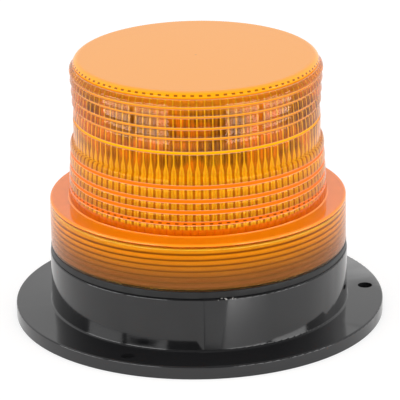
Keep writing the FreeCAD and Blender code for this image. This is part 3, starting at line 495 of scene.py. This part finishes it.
def clear_amber(name, settings, gloss_tint):
    """Polished outer wall: clear, with its grooves between the prisms opaque, rougher and painted with light,
    orange below and brighter above, a row of dark dashes in the lowest, and a hair of painted shade at both
    edges of each upper one."""
    # Painted light: the groove colours stand in for light that the grooves bend and throw back. The edge
    # colour is painted shade.
    lower_groove_light, upper_groove_light = (0.93, 0.17, 0.0), (1.0, 0.43, 0.0)
    dash, groove_edge_shade = (0.2, 0.035, 0.0), (0.5, 0.14, 0.001)
    finish = Finish(name, 0.03, Transmission_Weight=1.0, IOR=1.38, Specular_Tint=(*gloss_tint, 1),
                    Sheen_Weight=0.45, Sheen_Roughness=0.4, Sheen_Tint=(1.0, 0.28, 0.03, 1))
    across, _, z = flute_phase(finish, settings)
    depth = finish.add("Attribute", attribute_name="groove").outputs["Fac"]
    # Painted light: far enough into a groove, the wall turns opaque and rougher and takes the painted groove
    # colours.
    painted_groove = finish.step(depth, 0.04, 0.3)
    upper = finish.step(z, STEP_Z, STEP_Z + 4.0)
    groove = finish.blend(upper, lower_groove_light, upper_groove_light)
    groove = finish.blend(dashes(finish, across, z, LOWER_DASH_Z), groove, dash)
    # Painted shade: a hair of darker amber at both edges of each upper groove.
    edge = finish.math("MULTIPLY", upper, finish.rest(finish.step(depth, 0.35, 0.65)))
    groove = finish.blend(finish.math("MULTIPLY", edge, 0.75), groove, groove_edge_shade)
    finish.paint(finish.blend(painted_groove, tuple(settings.clear_tint), groove))
    finish.polish(finish.math("MULTIPLY_ADD", painted_groove, 0.35, 0.03))
    finish.feed(finish.shader.inputs["Transmission Weight"], finish.rest(painted_groove))
    return finish.material


def dashes(finish, across, z, height):
    """1 on a row of short level dashes, one in the middle of each flute."""
    cell = finish.rest(finish.step(across, 0.35, 0.55))
    return finish.math("MULTIPLY", cell, near(finish, z, height, 0.2, 0.2))


def fluted_amber_painted_light(settings):
    """Inside of the dome, opaque and painted with the light and shade that the prisms show through the clear
    wall: dark cells of painted shade between ridges of painted light above, which end in points, and bars of
    painted light parted by thin lines of painted shade below, with a faint line down the middle of each bar.
    Patches a few cells wide are browner than others, as painted shade, and the cells pale towards the crown,
    as painted light."""
    # Painted shade in the cells and between the bars. Painted light on the ridges, the bars and the cells
    # near the crown. The foot below the pattern is plain amber.
    pale_brown_shade, deep_brown_shade = (0.5, 0.19, 0.004), (0.2, 0.055, 0.001)
    streak_shade, crown_cell_light, bar_gap_shade = (0.5, 0.14, 0.001), (1.0, 0.36, 0.01), (0.6, 0.17, 0.001)
    bar_middle, ridge, plain_foot = (1.0, 0.4, 0.005), (1.0, 0.56, 0.012), (0.95, 0.2, 0.0)
    finish = Finish("fluted_amber_painted_light", 0.25, Specular_IOR_Level=0.0)
    across, count, z = flute_phase(finish, settings)
    upper = finish.step(z, STEP_Z + 0.5, STEP_Z + 5.0)
    reach = finish.math("MULTIPLY_ADD", upper, 0.46, 0.34)
    # Painted light on the ridges and bars, painted shade across the rest of each flute.
    lit = finish.step(finish.math("SUBTRACT", across, reach), -0.08, 0.08)
    streaks = finish.vector(finish.math("MULTIPLY", count, 3.0), finish.math("MULTIPLY", z, 0.08), 0.0)
    streak = finish.step(finish.noise(streaks, 1.0, 3.0), 0.38, 0.62)
    # Painted shade: patches a few cells wide turn browner.
    zones = finish.vector(finish.math("MULTIPLY", count, 0.17), finish.math("MULTIPLY", z, 0.07), 4.0)
    zone = finish.step(finish.noise(zones, 1.0, 2.0), 0.42, 0.6)
    brown = finish.blend(streak, deep_brown_shade, pale_brown_shade)
    amber = finish.blend(streak, streak_shade, tuple(settings.deep))
    dark = finish.blend(zone, brown, amber)
    # Painted light: the cells pale towards the crown.
    dark = finish.blend(finish.step(z, 86.0, 94.0), dark, crown_cell_light)
    dark = finish.blend(upper, bar_gap_shade, dark)
    bar = finish.blend(finish.step(across, 0.84, 0.96), tuple(settings.bright), bar_middle)
    bright = finish.blend(upper, bar, ridge)
    above_foot = finish.step(z, 46.0, 46.6)
    finish.paint(finish.blend(above_foot, plain_foot, finish.blend(lit, dark, bright)))
    return finish.material


def threaded_amber_painted_light(settings):
    """Bore of the collar, opaque and painted with the light and shade that the clear collar shows: painted
    light on the flanks, a line of painted shade in every groove of the thread, and browner towards the foot,
    as painted shade."""
    # Painted light on the flanks, painted shade in the thread's grooves, and both browner towards the foot as
    # painted shade.
    flank_top_light, flank_foot_shade = (0.9, 0.36, 0.008), (0.34, 0.12, 0.045)
    line_top_shade, line_foot_shade = (0.28, 0.06, 0.0), (0.27, 0.105, 0.035)
    finish = Finish("threaded_amber_painted_light", 0.3, Specular_IOR_Level=0.0)
    x, y, z = finish.place()
    turn = finish.math("MULTIPLY", finish.math("ARCTAN2", y, x), -1 / TURN)
    phase = finish.math("FRACT", finish.math("MULTIPLY_ADD", z, MM / settings.thread_pitch, turn))
    across = finish.math("ABSOLUTE", finish.math("MULTIPLY_ADD", phase, 2.0, -1.0))
    flank = finish.step(across, 0.12, 0.5)
    # Painted shade: browner towards the foot, where the black neck stands behind the collar.
    foot = finish.rest(finish.step(z, 29.0, 41.0))
    bright = finish.blend(foot, flank_top_light, flank_foot_shade)
    dark = finish.blend(foot, line_top_shade, line_foot_shade)
    finish.paint(finish.blend(flank, dark, bright))
    return finish.material


def milky_amber(name, colour):
    """Roof, ledge and inner corners, which scatter the light more than the ringed walls do."""
    finish = Finish(name, 0.06, IOR=1.5)
    finish.paint(finish.drift(colour, 0.12, 0.94, 1.0))
    finish.polish(finish.between(finish.noise(finish.spot(), 2.0, 3.0), 0.04, 0.09))
    return finish.material


def crown_amber(settings):
    """Crown: cloudy amber with a row of dark dashes round its foot and a small gate mark in the middle."""
    finish = Finish("crown_amber", 0.06, IOR=1.5)
    across, _, z = flute_phase(finish, settings)
    x, y, _ = finish.place()
    amber, dash, gate_mark = (1.0, 0.36, 0.002), (0.3, 0.08, 0.0), (0.8, 0.3, 0.01)
    gate = finish.rest(finish.step(finish.length(x, y), 0.3, 0.6))
    colour = finish.blend(dashes(finish, across, z, CROWN_DASH_Z), amber, dash)
    finish.paint(finish.blend(gate, colour, gate_mark))
    return finish.material


def shade(colour, share):
    """A colour made darker or paler."""
    return tuple(min(1.0, channel * share) for channel in colour)


def moulded(name, colour, roughness, grain=0.01, **sockets):
    """Moulded plastic or rubber: a slow drift of tone, and a fine grain in gloss and relief."""
    finish = Finish(name, roughness, **sockets)
    finish.paint(finish.drift(colour, 0.15, 0.82, 1.12))
    fine = finish.noise(finish.spot(), 3.0, 3.0)
    finish.polish(finish.between(fine, 0.8 * roughness, 1.25 * roughness))
    finish.relief(fine, grain)
    return finish.material


def plated(name, colour, roughness=0.3):
    """Plated steel: pale and darker grains of the plating over faint rolling lines along x."""
    finish = Finish(name, roughness, Metallic=1.0)
    cells = finish.add("TexVoronoi", finish.spot())
    cells.inputs["Scale"].default_value = 1.3
    grains = finish.add("SeparateXYZ", cells.outputs["Color"]).outputs[0]
    lines = finish.noise(finish.spot((0.05, 4.0, 4.0)), 1.0, 3.0)
    finish.paint(finish.blend(grains, shade(colour, 0.88), shade(colour, 1.08)))
    finish.polish(finish.between(lines, 0.7 * roughness, 1.4 * roughness))
    finish.relief(lines, 0.006)
    return finish.material


def turned(name, colour, tarnish, roughness=0.22, centre=(0.0, 0.0)):
    """Turned metal: fine tool rings about an upright axis, and tarnish in patches."""
    finish = Finish(name, roughness, Metallic=1.0)
    x, y, z = finish.place()
    away_x = finish.math("SUBTRACT", x, centre[0])
    away_y = finish.math("SUBTRACT", y, centre[1])
    rings_per_mm = 7.0
    outwards = finish.math("MULTIPLY", finish.length(away_x, away_y), rings_per_mm)
    upwards = finish.math("MULTIPLY", z, rings_per_mm)
    rings = finish.noise(finish.vector(outwards, 0.0, upwards), 1.0, 2.0)
    patches = finish.noise(finish.spot(), 0.35, 4.0)
    finish.paint(finish.blend(finish.step(patches, 0.45, 0.7), colour, tarnish))
    finish.polish(finish.between(rings, 0.7 * roughness, 1.6 * roughness))
    finish.relief(rings, 0.008)
    return finish.material


def laminated(name, colour):
    """Punched fibre board: layers across its thickness and short fibres in its faces."""
    finish = Finish(name, 0.6)
    layers = finish.noise(finish.spot((0.2, 0.2, 9.0)), 1.0, 2.0)
    fibres = finish.noise(finish.spot((3.0, 0.5, 1.0)), 1.0, 3.0)
    tone = finish.math("MULTIPLY_ADD", layers, 0.5, finish.math("MULTIPLY", fibres, 0.5))
    finish.paint(finish.blend(finish.step(tone, 0.3, 0.7), shade(colour, 0.7), shade(colour, 1.25)))
    finish.relief(tone, 0.02)
    return finish.material


def mirrored(name, colour):
    """Vacuum metal over a moulding: near mirror gloss with faint flow lines and a few dull specks."""
    finish = Finish(name, 0.07, Metallic=1.0)
    flow = finish.noise(finish.spot((0.3, 0.3, 0.05)), 1.0, 3.0)
    specks = finish.step(finish.noise(finish.spot(), 2.5, 2.0), 0.68, 0.76)
    finish.paint(finish.blend(specks, finish.blend(flow, shade(colour, 0.96), colour), shade(colour, 0.75)))
    finish.polish(finish.math("MULTIPLY_ADD", specks, 0.3, finish.between(flow, 0.05, 0.1)))
    finish.relief(flow, 0.01)
    return finish.material


def blown_glass():
    """Clear bulb glass with faint draw lines and a grey breath near its neck."""
    finish = Finish("bulb_glass", 0.02, Transmission_Weight=1.0, IOR=1.45)
    z = finish.place()[2]
    lines = finish.noise(finish.spot((1.0, 1.0, 0.05)), 1.0, 2.0)
    clear, smoky = (0.97, 0.98, 0.98), (0.7, 0.72, 0.72)
    smoke = finish.rest(finish.step(z, 46.0, 56.0))
    finish.paint(finish.blend(smoke, clear, smoky))
    finish.polish(finish.between(lines, 0.01, 0.05))
    return finish.material


def black_abs(colour):
    """Glossy black moulding: dust in its pores, two weld lines on the flange, from a screw hole and from the
    body outwards, and small nicks on the edge of the body."""
    flange_top, body_top = 5.0, 24.3
    hole_bearing, hole_edge_r = 5.5, 64.4
    body_bearing, body_r = 188.0, 54.4
    dust = (0.35, 0.34, 0.32)
    finish = Finish("black_abs", 0.1, IOR=1.5)
    x, y, z = finish.place()
    fine = finish.noise(finish.spot(), 2.5, 4.0)
    base = finish.drift(colour, 0.1, 0.85, 1.15)
    # Painted light: the whole flange's black is made paler, standing in for more of the room's reflection on
    # its top. The same mask keeps the weld lines to the flange.
    flange = finish.rest(finish.step(z, flange_top - 0.2, flange_top + 0.2))
    base = finish.blend(flange, base, shade(colour, 1.8))
    specks = finish.step(finish.noise(finish.spot(), 3.5, 1.0), 0.74, 0.8)
    weld = finish.math("ADD", weld_line(finish, x, y, hole_bearing, hole_edge_r),
                       weld_line(finish, x, y, body_bearing, body_r))
    weld = finish.math("MULTIPLY", weld, flange)
    nicks = finish.math("MULTIPLY", near(finish, z, body_top, 0.2, 0.2), near(finish, x, 9.0, 4.0, 1.0))
    nicks = finish.math("MULTIPLY", nicks, finish.step(finish.noise(finish.spot(), 1.1, 2.0), 0.56, 0.6))
    marks = finish.math("MULTIPLY_ADD", specks, 0.1, finish.math("MULTIPLY_ADD", weld, 0.12, nicks))
    finish.paint(finish.blend(marks, base, dust))
    finish.polish(finish.math("MULTIPLY_ADD", marks, 0.3, finish.between(fine, 0.07, 0.13)))
    finish.relief(finish.math("SUBTRACT", fine, weld), 0.004)
    return finish.material


def weld_line(finish, x, y, bearing, from_radius):
    """1 on a hair line that runs outwards along a bearing in degrees, from a radius on."""
    turn = math.radians(bearing)
    along = finish.math("MULTIPLY_ADD", x, math.cos(turn), finish.math("MULTIPLY", y, math.sin(turn)))
    aside = finish.math("MULTIPLY_ADD", y, math.cos(turn), finish.math("MULTIPLY", x, -math.sin(turn)))
    return finish.math("MULTIPLY", near(finish, aside, 0.0, 0.08, 0.15),
                       finish.step(along, from_radius, from_radius + 0.4))


# ---------------------------------------------------------------- pieces
BODY_OF = {node: body for body, nodes in frame["record"]["behaviour"]["bodies"].items() for node in nodes}


def stands_for(piece, node):
    """The piece rides where the node rides, and hides it."""
    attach(piece, BODY_OF[node])
    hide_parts(node)


def paint_node(node, material):
    """Better finish for a solid whose own shape stays."""
    for slot in frame["nodes"][node].material_slots:
        slot.material = material


def smooth_node(node, material):
    """The solid's own surface with its loose triangles joined and its round faces shaded smooth."""
    source = frame["nodes"][node].data
    points = np.empty(len(source.vertices) * 3)
    source.vertices.foreach_get("co", points)
    source.calc_loop_triangles()
    corners = np.empty(len(source.loop_triangles) * 3, np.int32)
    source.loop_triangles.foreach_get("vertices", corners)
    keys, where = np.unique(np.round(points.reshape(-1, 3), 7), axis=0, return_inverse=True)
    triangles = where.reshape(-1)[corners].reshape(-1, 3)
    whole = (triangles != np.roll(triangles, 1, axis=1)).all(axis=1)
    mesh = bpy.data.meshes.new(node + "_surface")
    mesh.from_pydata(keys.tolist(), [], triangles[whole].tolist())
    mesh.shade_smooth()
    mesh.set_sharp_from_angle(angle=SOLID_EDGE)
    mesh.materials.append(material)
    stands_for(link(node + "_surface", mesh), node)


def coil(name, turns, coil_r, wire_r, low, high, material):
    """Round wire wound to a coil about +Z. Along the wire, the angle grows evenly and the height follows it,
    flattened at both ends so that the end turns lie level; round the wire, a circle of its radius stands on
    the outward and the upward direction. Both ends are closed. In millimetres."""
    along, around = int(turns * 28), 10
    share = np.linspace(0, 1, along)
    angle = TURN * turns * share
    level = share - 0.12 * np.sin(TURN * share)
    height = low + wire_r + (high - low - 2 * wire_r) * np.clip(level, 0, 1)
    ring = np.arange(around) * TURN / around
    radius = (coil_r - wire_r * np.cos(ring))[None, :]
    grid = np.stack([radius * np.cos(angle)[:, None], radius * np.sin(angle)[:, None],
                     height[:, None] + wire_r * np.sin(ring)[None, :]], axis=2).reshape(-1, 3)
    tips = [0, -1]
    ends = np.column_stack([coil_r * np.cos(angle[tips]), coil_r * np.sin(angle[tips]), height[tips]])
    tip = along * around
    caps = fan(tip, 0, around, backwards=True) + fan(tip + 1, tip - around, around)
    mesh = bpy.data.meshes.new(name)
    mesh.from_pydata((np.concatenate([grid, ends]) * MM).tolist(), [], ring_quads(along, around) + caps)
    mesh.shade_smooth()
    mesh.materials.append(material)
    return link(name, mesh)


# ---------------------------------------------------------------- stage
# Softboxes on the right: place, width and height. Each has a twin on the left.
SOFTBOXES = {
    "front_softbox": ((0.58, -0.69, 0.12), 0.5, 0.24),
    "side_softbox": ((0.87, -0.23, 0.145), 0.5, 0.23),
}


def softbox(name, spot, width, height, level):
    """Rectangular lamp of an even brightness that faces the middle of the beacon, and that the camera doesn't
    see. Its power is brightness times area times pi."""
    data = bpy.data.lights.new(name, "AREA")
    data.shape = "RECTANGLE"
    data.size = width
    data.size_y = height
    data.energy = level * width * height * math.pi
    lamp = bpy.data.objects.new(name, data)
    lamp.location = spot
    lamp.visible_camera = False
    aim = Vector((0, 0, 0.05)) - Vector(spot)
    lamp.rotation_euler = aim.to_track_quat("-Z", "Y").to_euler()
    bpy.context.scene.collection.objects.link(lamp)


def studio_world(settings):
    """White room, of strength 1 where the camera sees it or glass shows it. Gloss sees it white behind the
    beacon and dim on the camera's side, and it lights at the plain level."""
    world = bpy.data.worlds.new("studio")
    world.use_nodes = True
    nodes = Nodes(world.node_tree)
    path = nodes.add("LightPath").outputs
    away = nodes.add("SeparateXYZ", nodes.add("TexCoord").outputs["Generated"]).outputs["Y"]
    behind = nodes.add("MapRange", away, -0.2, 0.5, settings.dim_side, 1.0).outputs[0]
    reflected = nodes.math("MULTIPLY", path["Is Glossy Ray"], path["Is Reflection Ray"])
    level = nodes.add("Mix", reflected, None, settings.world_level, behind).outputs[0]
    shown = nodes.math("MAXIMUM", path["Is Camera Ray"], path["Is Transmission Ray"])
    level = nodes.add("Mix", shown, None, level, 1.0).outputs[0]
    background = world.node_tree.nodes["Background"]
    background.inputs["Color"].default_value = (1, 1, 1, 1)
    nodes.feed(background.inputs["Strength"], level)
    bpy.context.scene.world = world


def floor_finish():
    """Pale matt floor that looks white where it is seen and still takes a faint shadow."""
    finish = Finish("pale_floor", 0.9)
    drift = finish.noise(finish.spot(), 0.01, 3.0)
    finish.paint(finish.blend(drift, (0.44, 0.44, 0.44), (0.46, 0.46, 0.46)))
    finish.shader.inputs["Emission Color"].default_value = (1, 1, 1, 1)
    path = finish.add("LightPath").outputs
    seen = finish.math("MAXIMUM", path["Is Camera Ray"], path["Is Glossy Ray"])
    seen = finish.math("MAXIMUM", seen, path["Is Transmission Ray"])
    lighting, seen_level = 0.6, 0.62
    glow = finish.add("Mix", seen, None, lighting, seen_level).outputs[0]
    finish.feed(finish.shader.inputs["Emission Strength"], glow)
    return finish.material


def studio_camera(settings):
    """Camera in front of the beacon, on -y, tilted down to look at a point on its axis and rolled a little
    about its view."""
    tilt, roll = settings.elevation, settings.roll
    back = Vector((0, -math.cos(tilt), math.sin(tilt)))
    across = Vector((1, 0, 0))
    upward = Vector((0, math.sin(tilt), math.cos(tilt)))
    data = bpy.data.cameras.new("camera")
    data.lens = settings.focal_length
    data.sensor_width = 36
    data.shift_x, data.shift_y = settings.shift
    data.clip_start = 0.05
    data.clip_end = 20
    camera = bpy.data.objects.new("camera", data)
    turned_across = across * math.cos(roll) - upward * math.sin(roll)
    turned_upward = upward * math.cos(roll) + across * math.sin(roll)
    place = Matrix((turned_across, turned_upward, back)).transposed().to_4x4()
    place.translation = Vector((0, 0, settings.aim_height)) + back * settings.distance
    camera.matrix_world = place
    bpy.context.scene.collection.objects.link(camera)
    bpy.context.scene.camera = camera


def studio_floor(settings):
    """Square floor under the beacon, which isn't part of it."""
    mesh = bpy.data.meshes.new("floor")
    edge = settings.floor_half
    mesh.from_pydata([(-edge, -edge, 0), (edge, -edge, 0), (edge, edge, 0), (-edge, edge, 0)], [],
                     [(0, 1, 2, 3)])
    mesh.materials.append(floor_finish())
    link("floor", mesh)


# ---------------------------------------------------------------- operators
class BEACON_OT_stage(bpy.types.Operator):
    """Build the floor, the white room, the softboxes and the camera"""
    bl_idname = "beacon.stage"
    bl_label = "Stage"

    def execute(self, context):
        settings = context.scene.beacon_studio
        context.scene.view_settings.view_transform = "Standard"
        studio_camera(settings)
        studio_world(settings)
        for side, sign in (("left", -1), ("right", 1)):
            for name, ((x, y, z), width, height) in SOFTBOXES.items():
                softbox(f"{side}_{name}", (sign * x, y, z), width, height, settings.softbox_level)
        studio_floor(settings)
        return {"FINISHED"}


class BEACON_OT_lens(bpy.types.Operator):
    """Build the amber lens with its prisms, flutes and screw thread"""
    bl_idname = "beacon.lens"
    bl_label = "Lens"

    def execute(self, context):
        settings = context.scene.beacon_lens
        finishes = {
            OUTER: clear_amber("clear_amber", settings, (1.0, 0.6, 0.1)),
            PRISM: clear_amber("prism_amber", settings, (1.0, 0.8, 0.6)),
            INNER: milky_amber("inner_amber", (1.0, 0.62, 0.03)),
            FLUTED: fluted_amber_painted_light(settings),
            THREADED: threaded_amber_painted_light(settings),
            CROWN: crown_amber(settings),
            LEDGE: milky_amber("ledge_amber", (0.95, 0.25, 0.003)),
        }
        stands_for(turned_shell("amber_lens", lens_walls(settings), finishes.values()), "lens")
        return {"FINISHED"}


class BEACON_OT_housing(bpy.types.Operator):
    """Finish the black base housing"""
    bl_idname = "beacon.housing"
    bl_label = "Base housing"

    def execute(self, context):
        smooth_node("base_housing", black_abs(tuple(context.scene.beacon_finishes.black)))
        return {"FINISHED"}


class BEACON_OT_seals(bpy.types.Operator):
    """Finish the lens gasket and the cable grommet"""
    bl_idname = "beacon.seals"
    bl_label = "Rubber seals"

    def execute(self, context):
        rubber = moulded("seal_rubber", tuple(context.scene.beacon_finishes.rubber), 0.42, 0.02,
                          Specular_IOR_Level=0.2)
        smooth_node("lens_gasket", rubber)
        smooth_node("cable_grommet", rubber)
        return {"FINISHED"}


class BEACON_OT_chassis(bpy.types.Operator):
    """Finish the chassis plate and its screws"""
    bl_idname = "beacon.chassis"
    bl_label = "Chassis"

    def execute(self, context):
        steel = tuple(context.scene.beacon_finishes.steel)
        paint_node("chassis_plate", plated("plated_sheet", steel, 0.35))
        paint_node("chassis_screws", plated("chassis_screw_steel", steel, 0.25))
        return {"FINISHED"}


class BEACON_OT_motor(bpy.types.Operator):
    """Finish the motor, its end cap, shaft, terminals and screws"""
    bl_idname = "beacon.motor"
    bl_label = "Motor"

    def execute(self, context):
        colours = context.scene.beacon_finishes
        steel, brass = tuple(colours.steel), tuple(colours.brass)
        axis = motor_axis()
        smooth_node("motor_can", turned("nickel_can", steel, shade(steel, 0.8), 0.2, axis))
        smooth_node("motor_end_cap", moulded("dark_nylon", tuple(colours.black), 0.5, 0.02))
        smooth_node("motor_shaft", turned("ground_shaft", steel, shade(steel, 0.85), 0.15, axis))
        paint_node("motor_terminals", plated("terminal_brass", brass, 0.3))
        paint_node("motor_screws", plated("motor_screw_steel", steel, 0.25))
        return {"FINISHED"}


class BEACON_OT_gears(bpy.types.Operator):
    """Finish the brass pinion and the white rotor gear"""
    bl_idname = "beacon.gears"
    bl_label = "Gears"

    def execute(self, context):
        colours = context.scene.beacon_finishes
        brass = tuple(colours.brass)
        smooth_node("drive_pinion", turned("pinion_brass", brass, shade(brass, 0.6), 0.25, motor_axis()))
        smooth_node("rotor_gear", moulded("white_acetal", tuple(colours.acetal), 0.35))
        return {"FINISHED"}


class BEACON_OT_bearing(bpy.types.Operator):
    """Finish the bearing sleeve, thrust washer and retaining ring"""
    bl_idname = "beacon.bearing"
    bl_label = "Bearing"

    def execute(self, context):
        colours = context.scene.beacon_finishes
        steel, brass = tuple(colours.steel), tuple(colours.brass)
        smooth_node("bearing_sleeve", turned("sleeve_brass", brass, shade(brass, 0.7), 0.25))
        smooth_node("thrust_washer", turned("washer_steel", steel, shade(steel, 0.85), 0.2))
        smooth_node("retaining_ring", plated("ring_steel", shade(steel, 0.5), 0.35))
        return {"FINISHED"}


class BEACON_OT_reflector(bpy.types.Operator):
    """Finish the reflector, its bracket and its screws"""
    bl_idname = "beacon.reflector"
    bl_label = "Reflector"

    def execute(self, context):
        steel = tuple(context.scene.beacon_finishes.steel)
        smooth_node("reflector", mirrored("metallised_plastic", (0.9, 0.91, 0.92)))
        paint_node("reflector_bracket", plated("bracket_steel", steel, 0.35))
        for node in ("bracket_screws", "reflector_screws"):
            paint_node(node, plated(node + "_steel", steel, 0.25))
        return {"FINISHED"}


class BEACON_OT_socket(bpy.types.Operator):
    """Finish the bayonet socket, its base and the contact in it, and wind its spring"""
    bl_idname = "beacon.socket"
    bl_label = "Lamp socket"

    def execute(self, context):
        colours = context.scene.beacon_finishes
        brass = tuple(colours.brass)
        brown = laminated("brown_laminate", tuple(colours.laminate))
        smooth_node("lamp_socket", turned("socket_brass", brass, shade(brass, 0.65), 0.25))
        smooth_node("spring_seat", turned("seat_brass", brass, shade(brass, 0.7), 0.3))
        smooth_node("contact_plunger", turned("plunger_brass", brass, shade(brass, 0.75), 0.2))
        smooth_node("socket_base", brown)
        smooth_node("plunger_disc", brown)
        low, high = (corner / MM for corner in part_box("contact_spring"))
        wire_r = colours.spring_wire / MM / 2
        spring = coil("contact_coil", 3.0, high.x - wire_r, wire_r, low.z, high.z,
                      turned("spring_steel", (0.35, 0.35, 0.37), (0.25, 0.24, 0.24), 0.3))
        stands_for(spring, "contact_spring")
        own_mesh(spring)
        return {"FINISHED"}


class BEACON_OT_lamp(bpy.types.Operator):
    """Finish the bayonet lamp: cap, insulator, tip, glass and filament"""
    bl_idname = "beacon.lamp"
    bl_label = "Lamp"

    def execute(self, context):
        colours = context.scene.beacon_finishes
        brass = tuple(colours.brass)
        smooth_node("bulb_cap", turned("cap_brass", brass, shade(brass, 0.75), 0.2))
        smooth_node("bulb_insulator", moulded("black_glass", (0.02, 0.02, 0.02), 0.1))
        smooth_node("bulb_tip", turned("tip_solder", (0.62, 0.62, 0.63), (0.45, 0.45, 0.46), 0.35))
        smooth_node("bulb_glass", blown_glass())
        smooth_node("bulb_filament", turned("filament_wire", (0.4, 0.4, 0.42), (0.25, 0.25, 0.27), 0.35))
        return {"FINISHED"}


class BEACON_OT_wiring(bpy.types.Operator):
    """Finish the terminal block, its screws, the leads and the capacitor"""
    bl_idname = "beacon.wiring"
    bl_label = "Wiring"

    def execute(self, context):
        colours = context.scene.beacon_finishes
        smooth_node("terminal_block", moulded("block_plastic", tuple(colours.acetal), 0.45))
        paint_node("terminal_screws", plated("terminal_screw_steel", tuple(colours.steel), 0.25))
        smooth_node("motor_leads", moulded("black_insulation", (0.015, 0.015, 0.015), 0.4))
        smooth_node("lamp_lead", moulded("red_insulation", (0.5, 0.02, 0.015), 0.4))
        smooth_node("suppressor_capacitor", moulded("dipped_resin", (0.45, 0.13, 0.02), 0.2, 0.04))
        return {"FINISHED"}


class BEACON_PT_pieces(bpy.types.Panel):
    """Sizes, colours and one button for each piece or group of like pieces"""
    bl_idname = "BEACON_PT_pieces"
    bl_label = "Rotating Beacon"
    bl_space_type = "VIEW_3D"
    bl_region_type = "UI"
    bl_category = "Beacon"

    def draw(self, context):
        for group in SETTINGS:
            settings = getattr(context.scene, group)
            box = self.layout.box()
            for name in settings.__annotations__:
                box.prop(settings, name)
        for operator in OPERATORS:
            self.layout.operator(operator.bl_idname)


def motor_axis():
    """Where the motor's shaft stands, in millimetres."""
    low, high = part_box("motor_shaft")
    middle = (low + high) / 2 / MM
    return middle.x, middle.y


SETTINGS = {"beacon_studio": StudioSettings, "beacon_lens": LensSettings, "beacon_finishes": FinishSettings}
OPERATORS = (BEACON_OT_stage, BEACON_OT_lens, BEACON_OT_housing, BEACON_OT_seals, BEACON_OT_chassis,
             BEACON_OT_motor, BEACON_OT_gears, BEACON_OT_bearing, BEACON_OT_reflector, BEACON_OT_socket,
             BEACON_OT_lamp, BEACON_OT_wiring)


def register():
    for settings in SETTINGS.values():
        bpy.utils.register_class(settings)
    for name, settings in SETTINGS.items():
        setattr(bpy.types.Scene, name, bpy.props.PointerProperty(type=settings))
    for operator in OPERATORS:
        bpy.utils.register_class(operator)
    bpy.utils.register_class(BEACON_PT_pieces)


def unregister():
    bpy.utils.unregister_class(BEACON_PT_pieces)
    for operator in reversed(OPERATORS):
        bpy.utils.unregister_class(operator)
    for name, settings in SETTINGS.items():
        delattr(bpy.types.Scene, name)
        bpy.utils.unregister_class(settings)


def main():
    """Builds every piece in order."""
    register()
    bpy.ops.beacon.stage()
    bpy.ops.beacon.lens()
    bpy.ops.beacon.housing()
    bpy.ops.beacon.seals()
    bpy.ops.beacon.chassis()
    bpy.ops.beacon.motor()
    bpy.ops.beacon.gears()
    bpy.ops.beacon.bearing()
    bpy.ops.beacon.reflector()
    bpy.ops.beacon.socket()
    bpy.ops.beacon.lamp()
    bpy.ops.beacon.wiring()


if __name__ == "__main__":
    main()
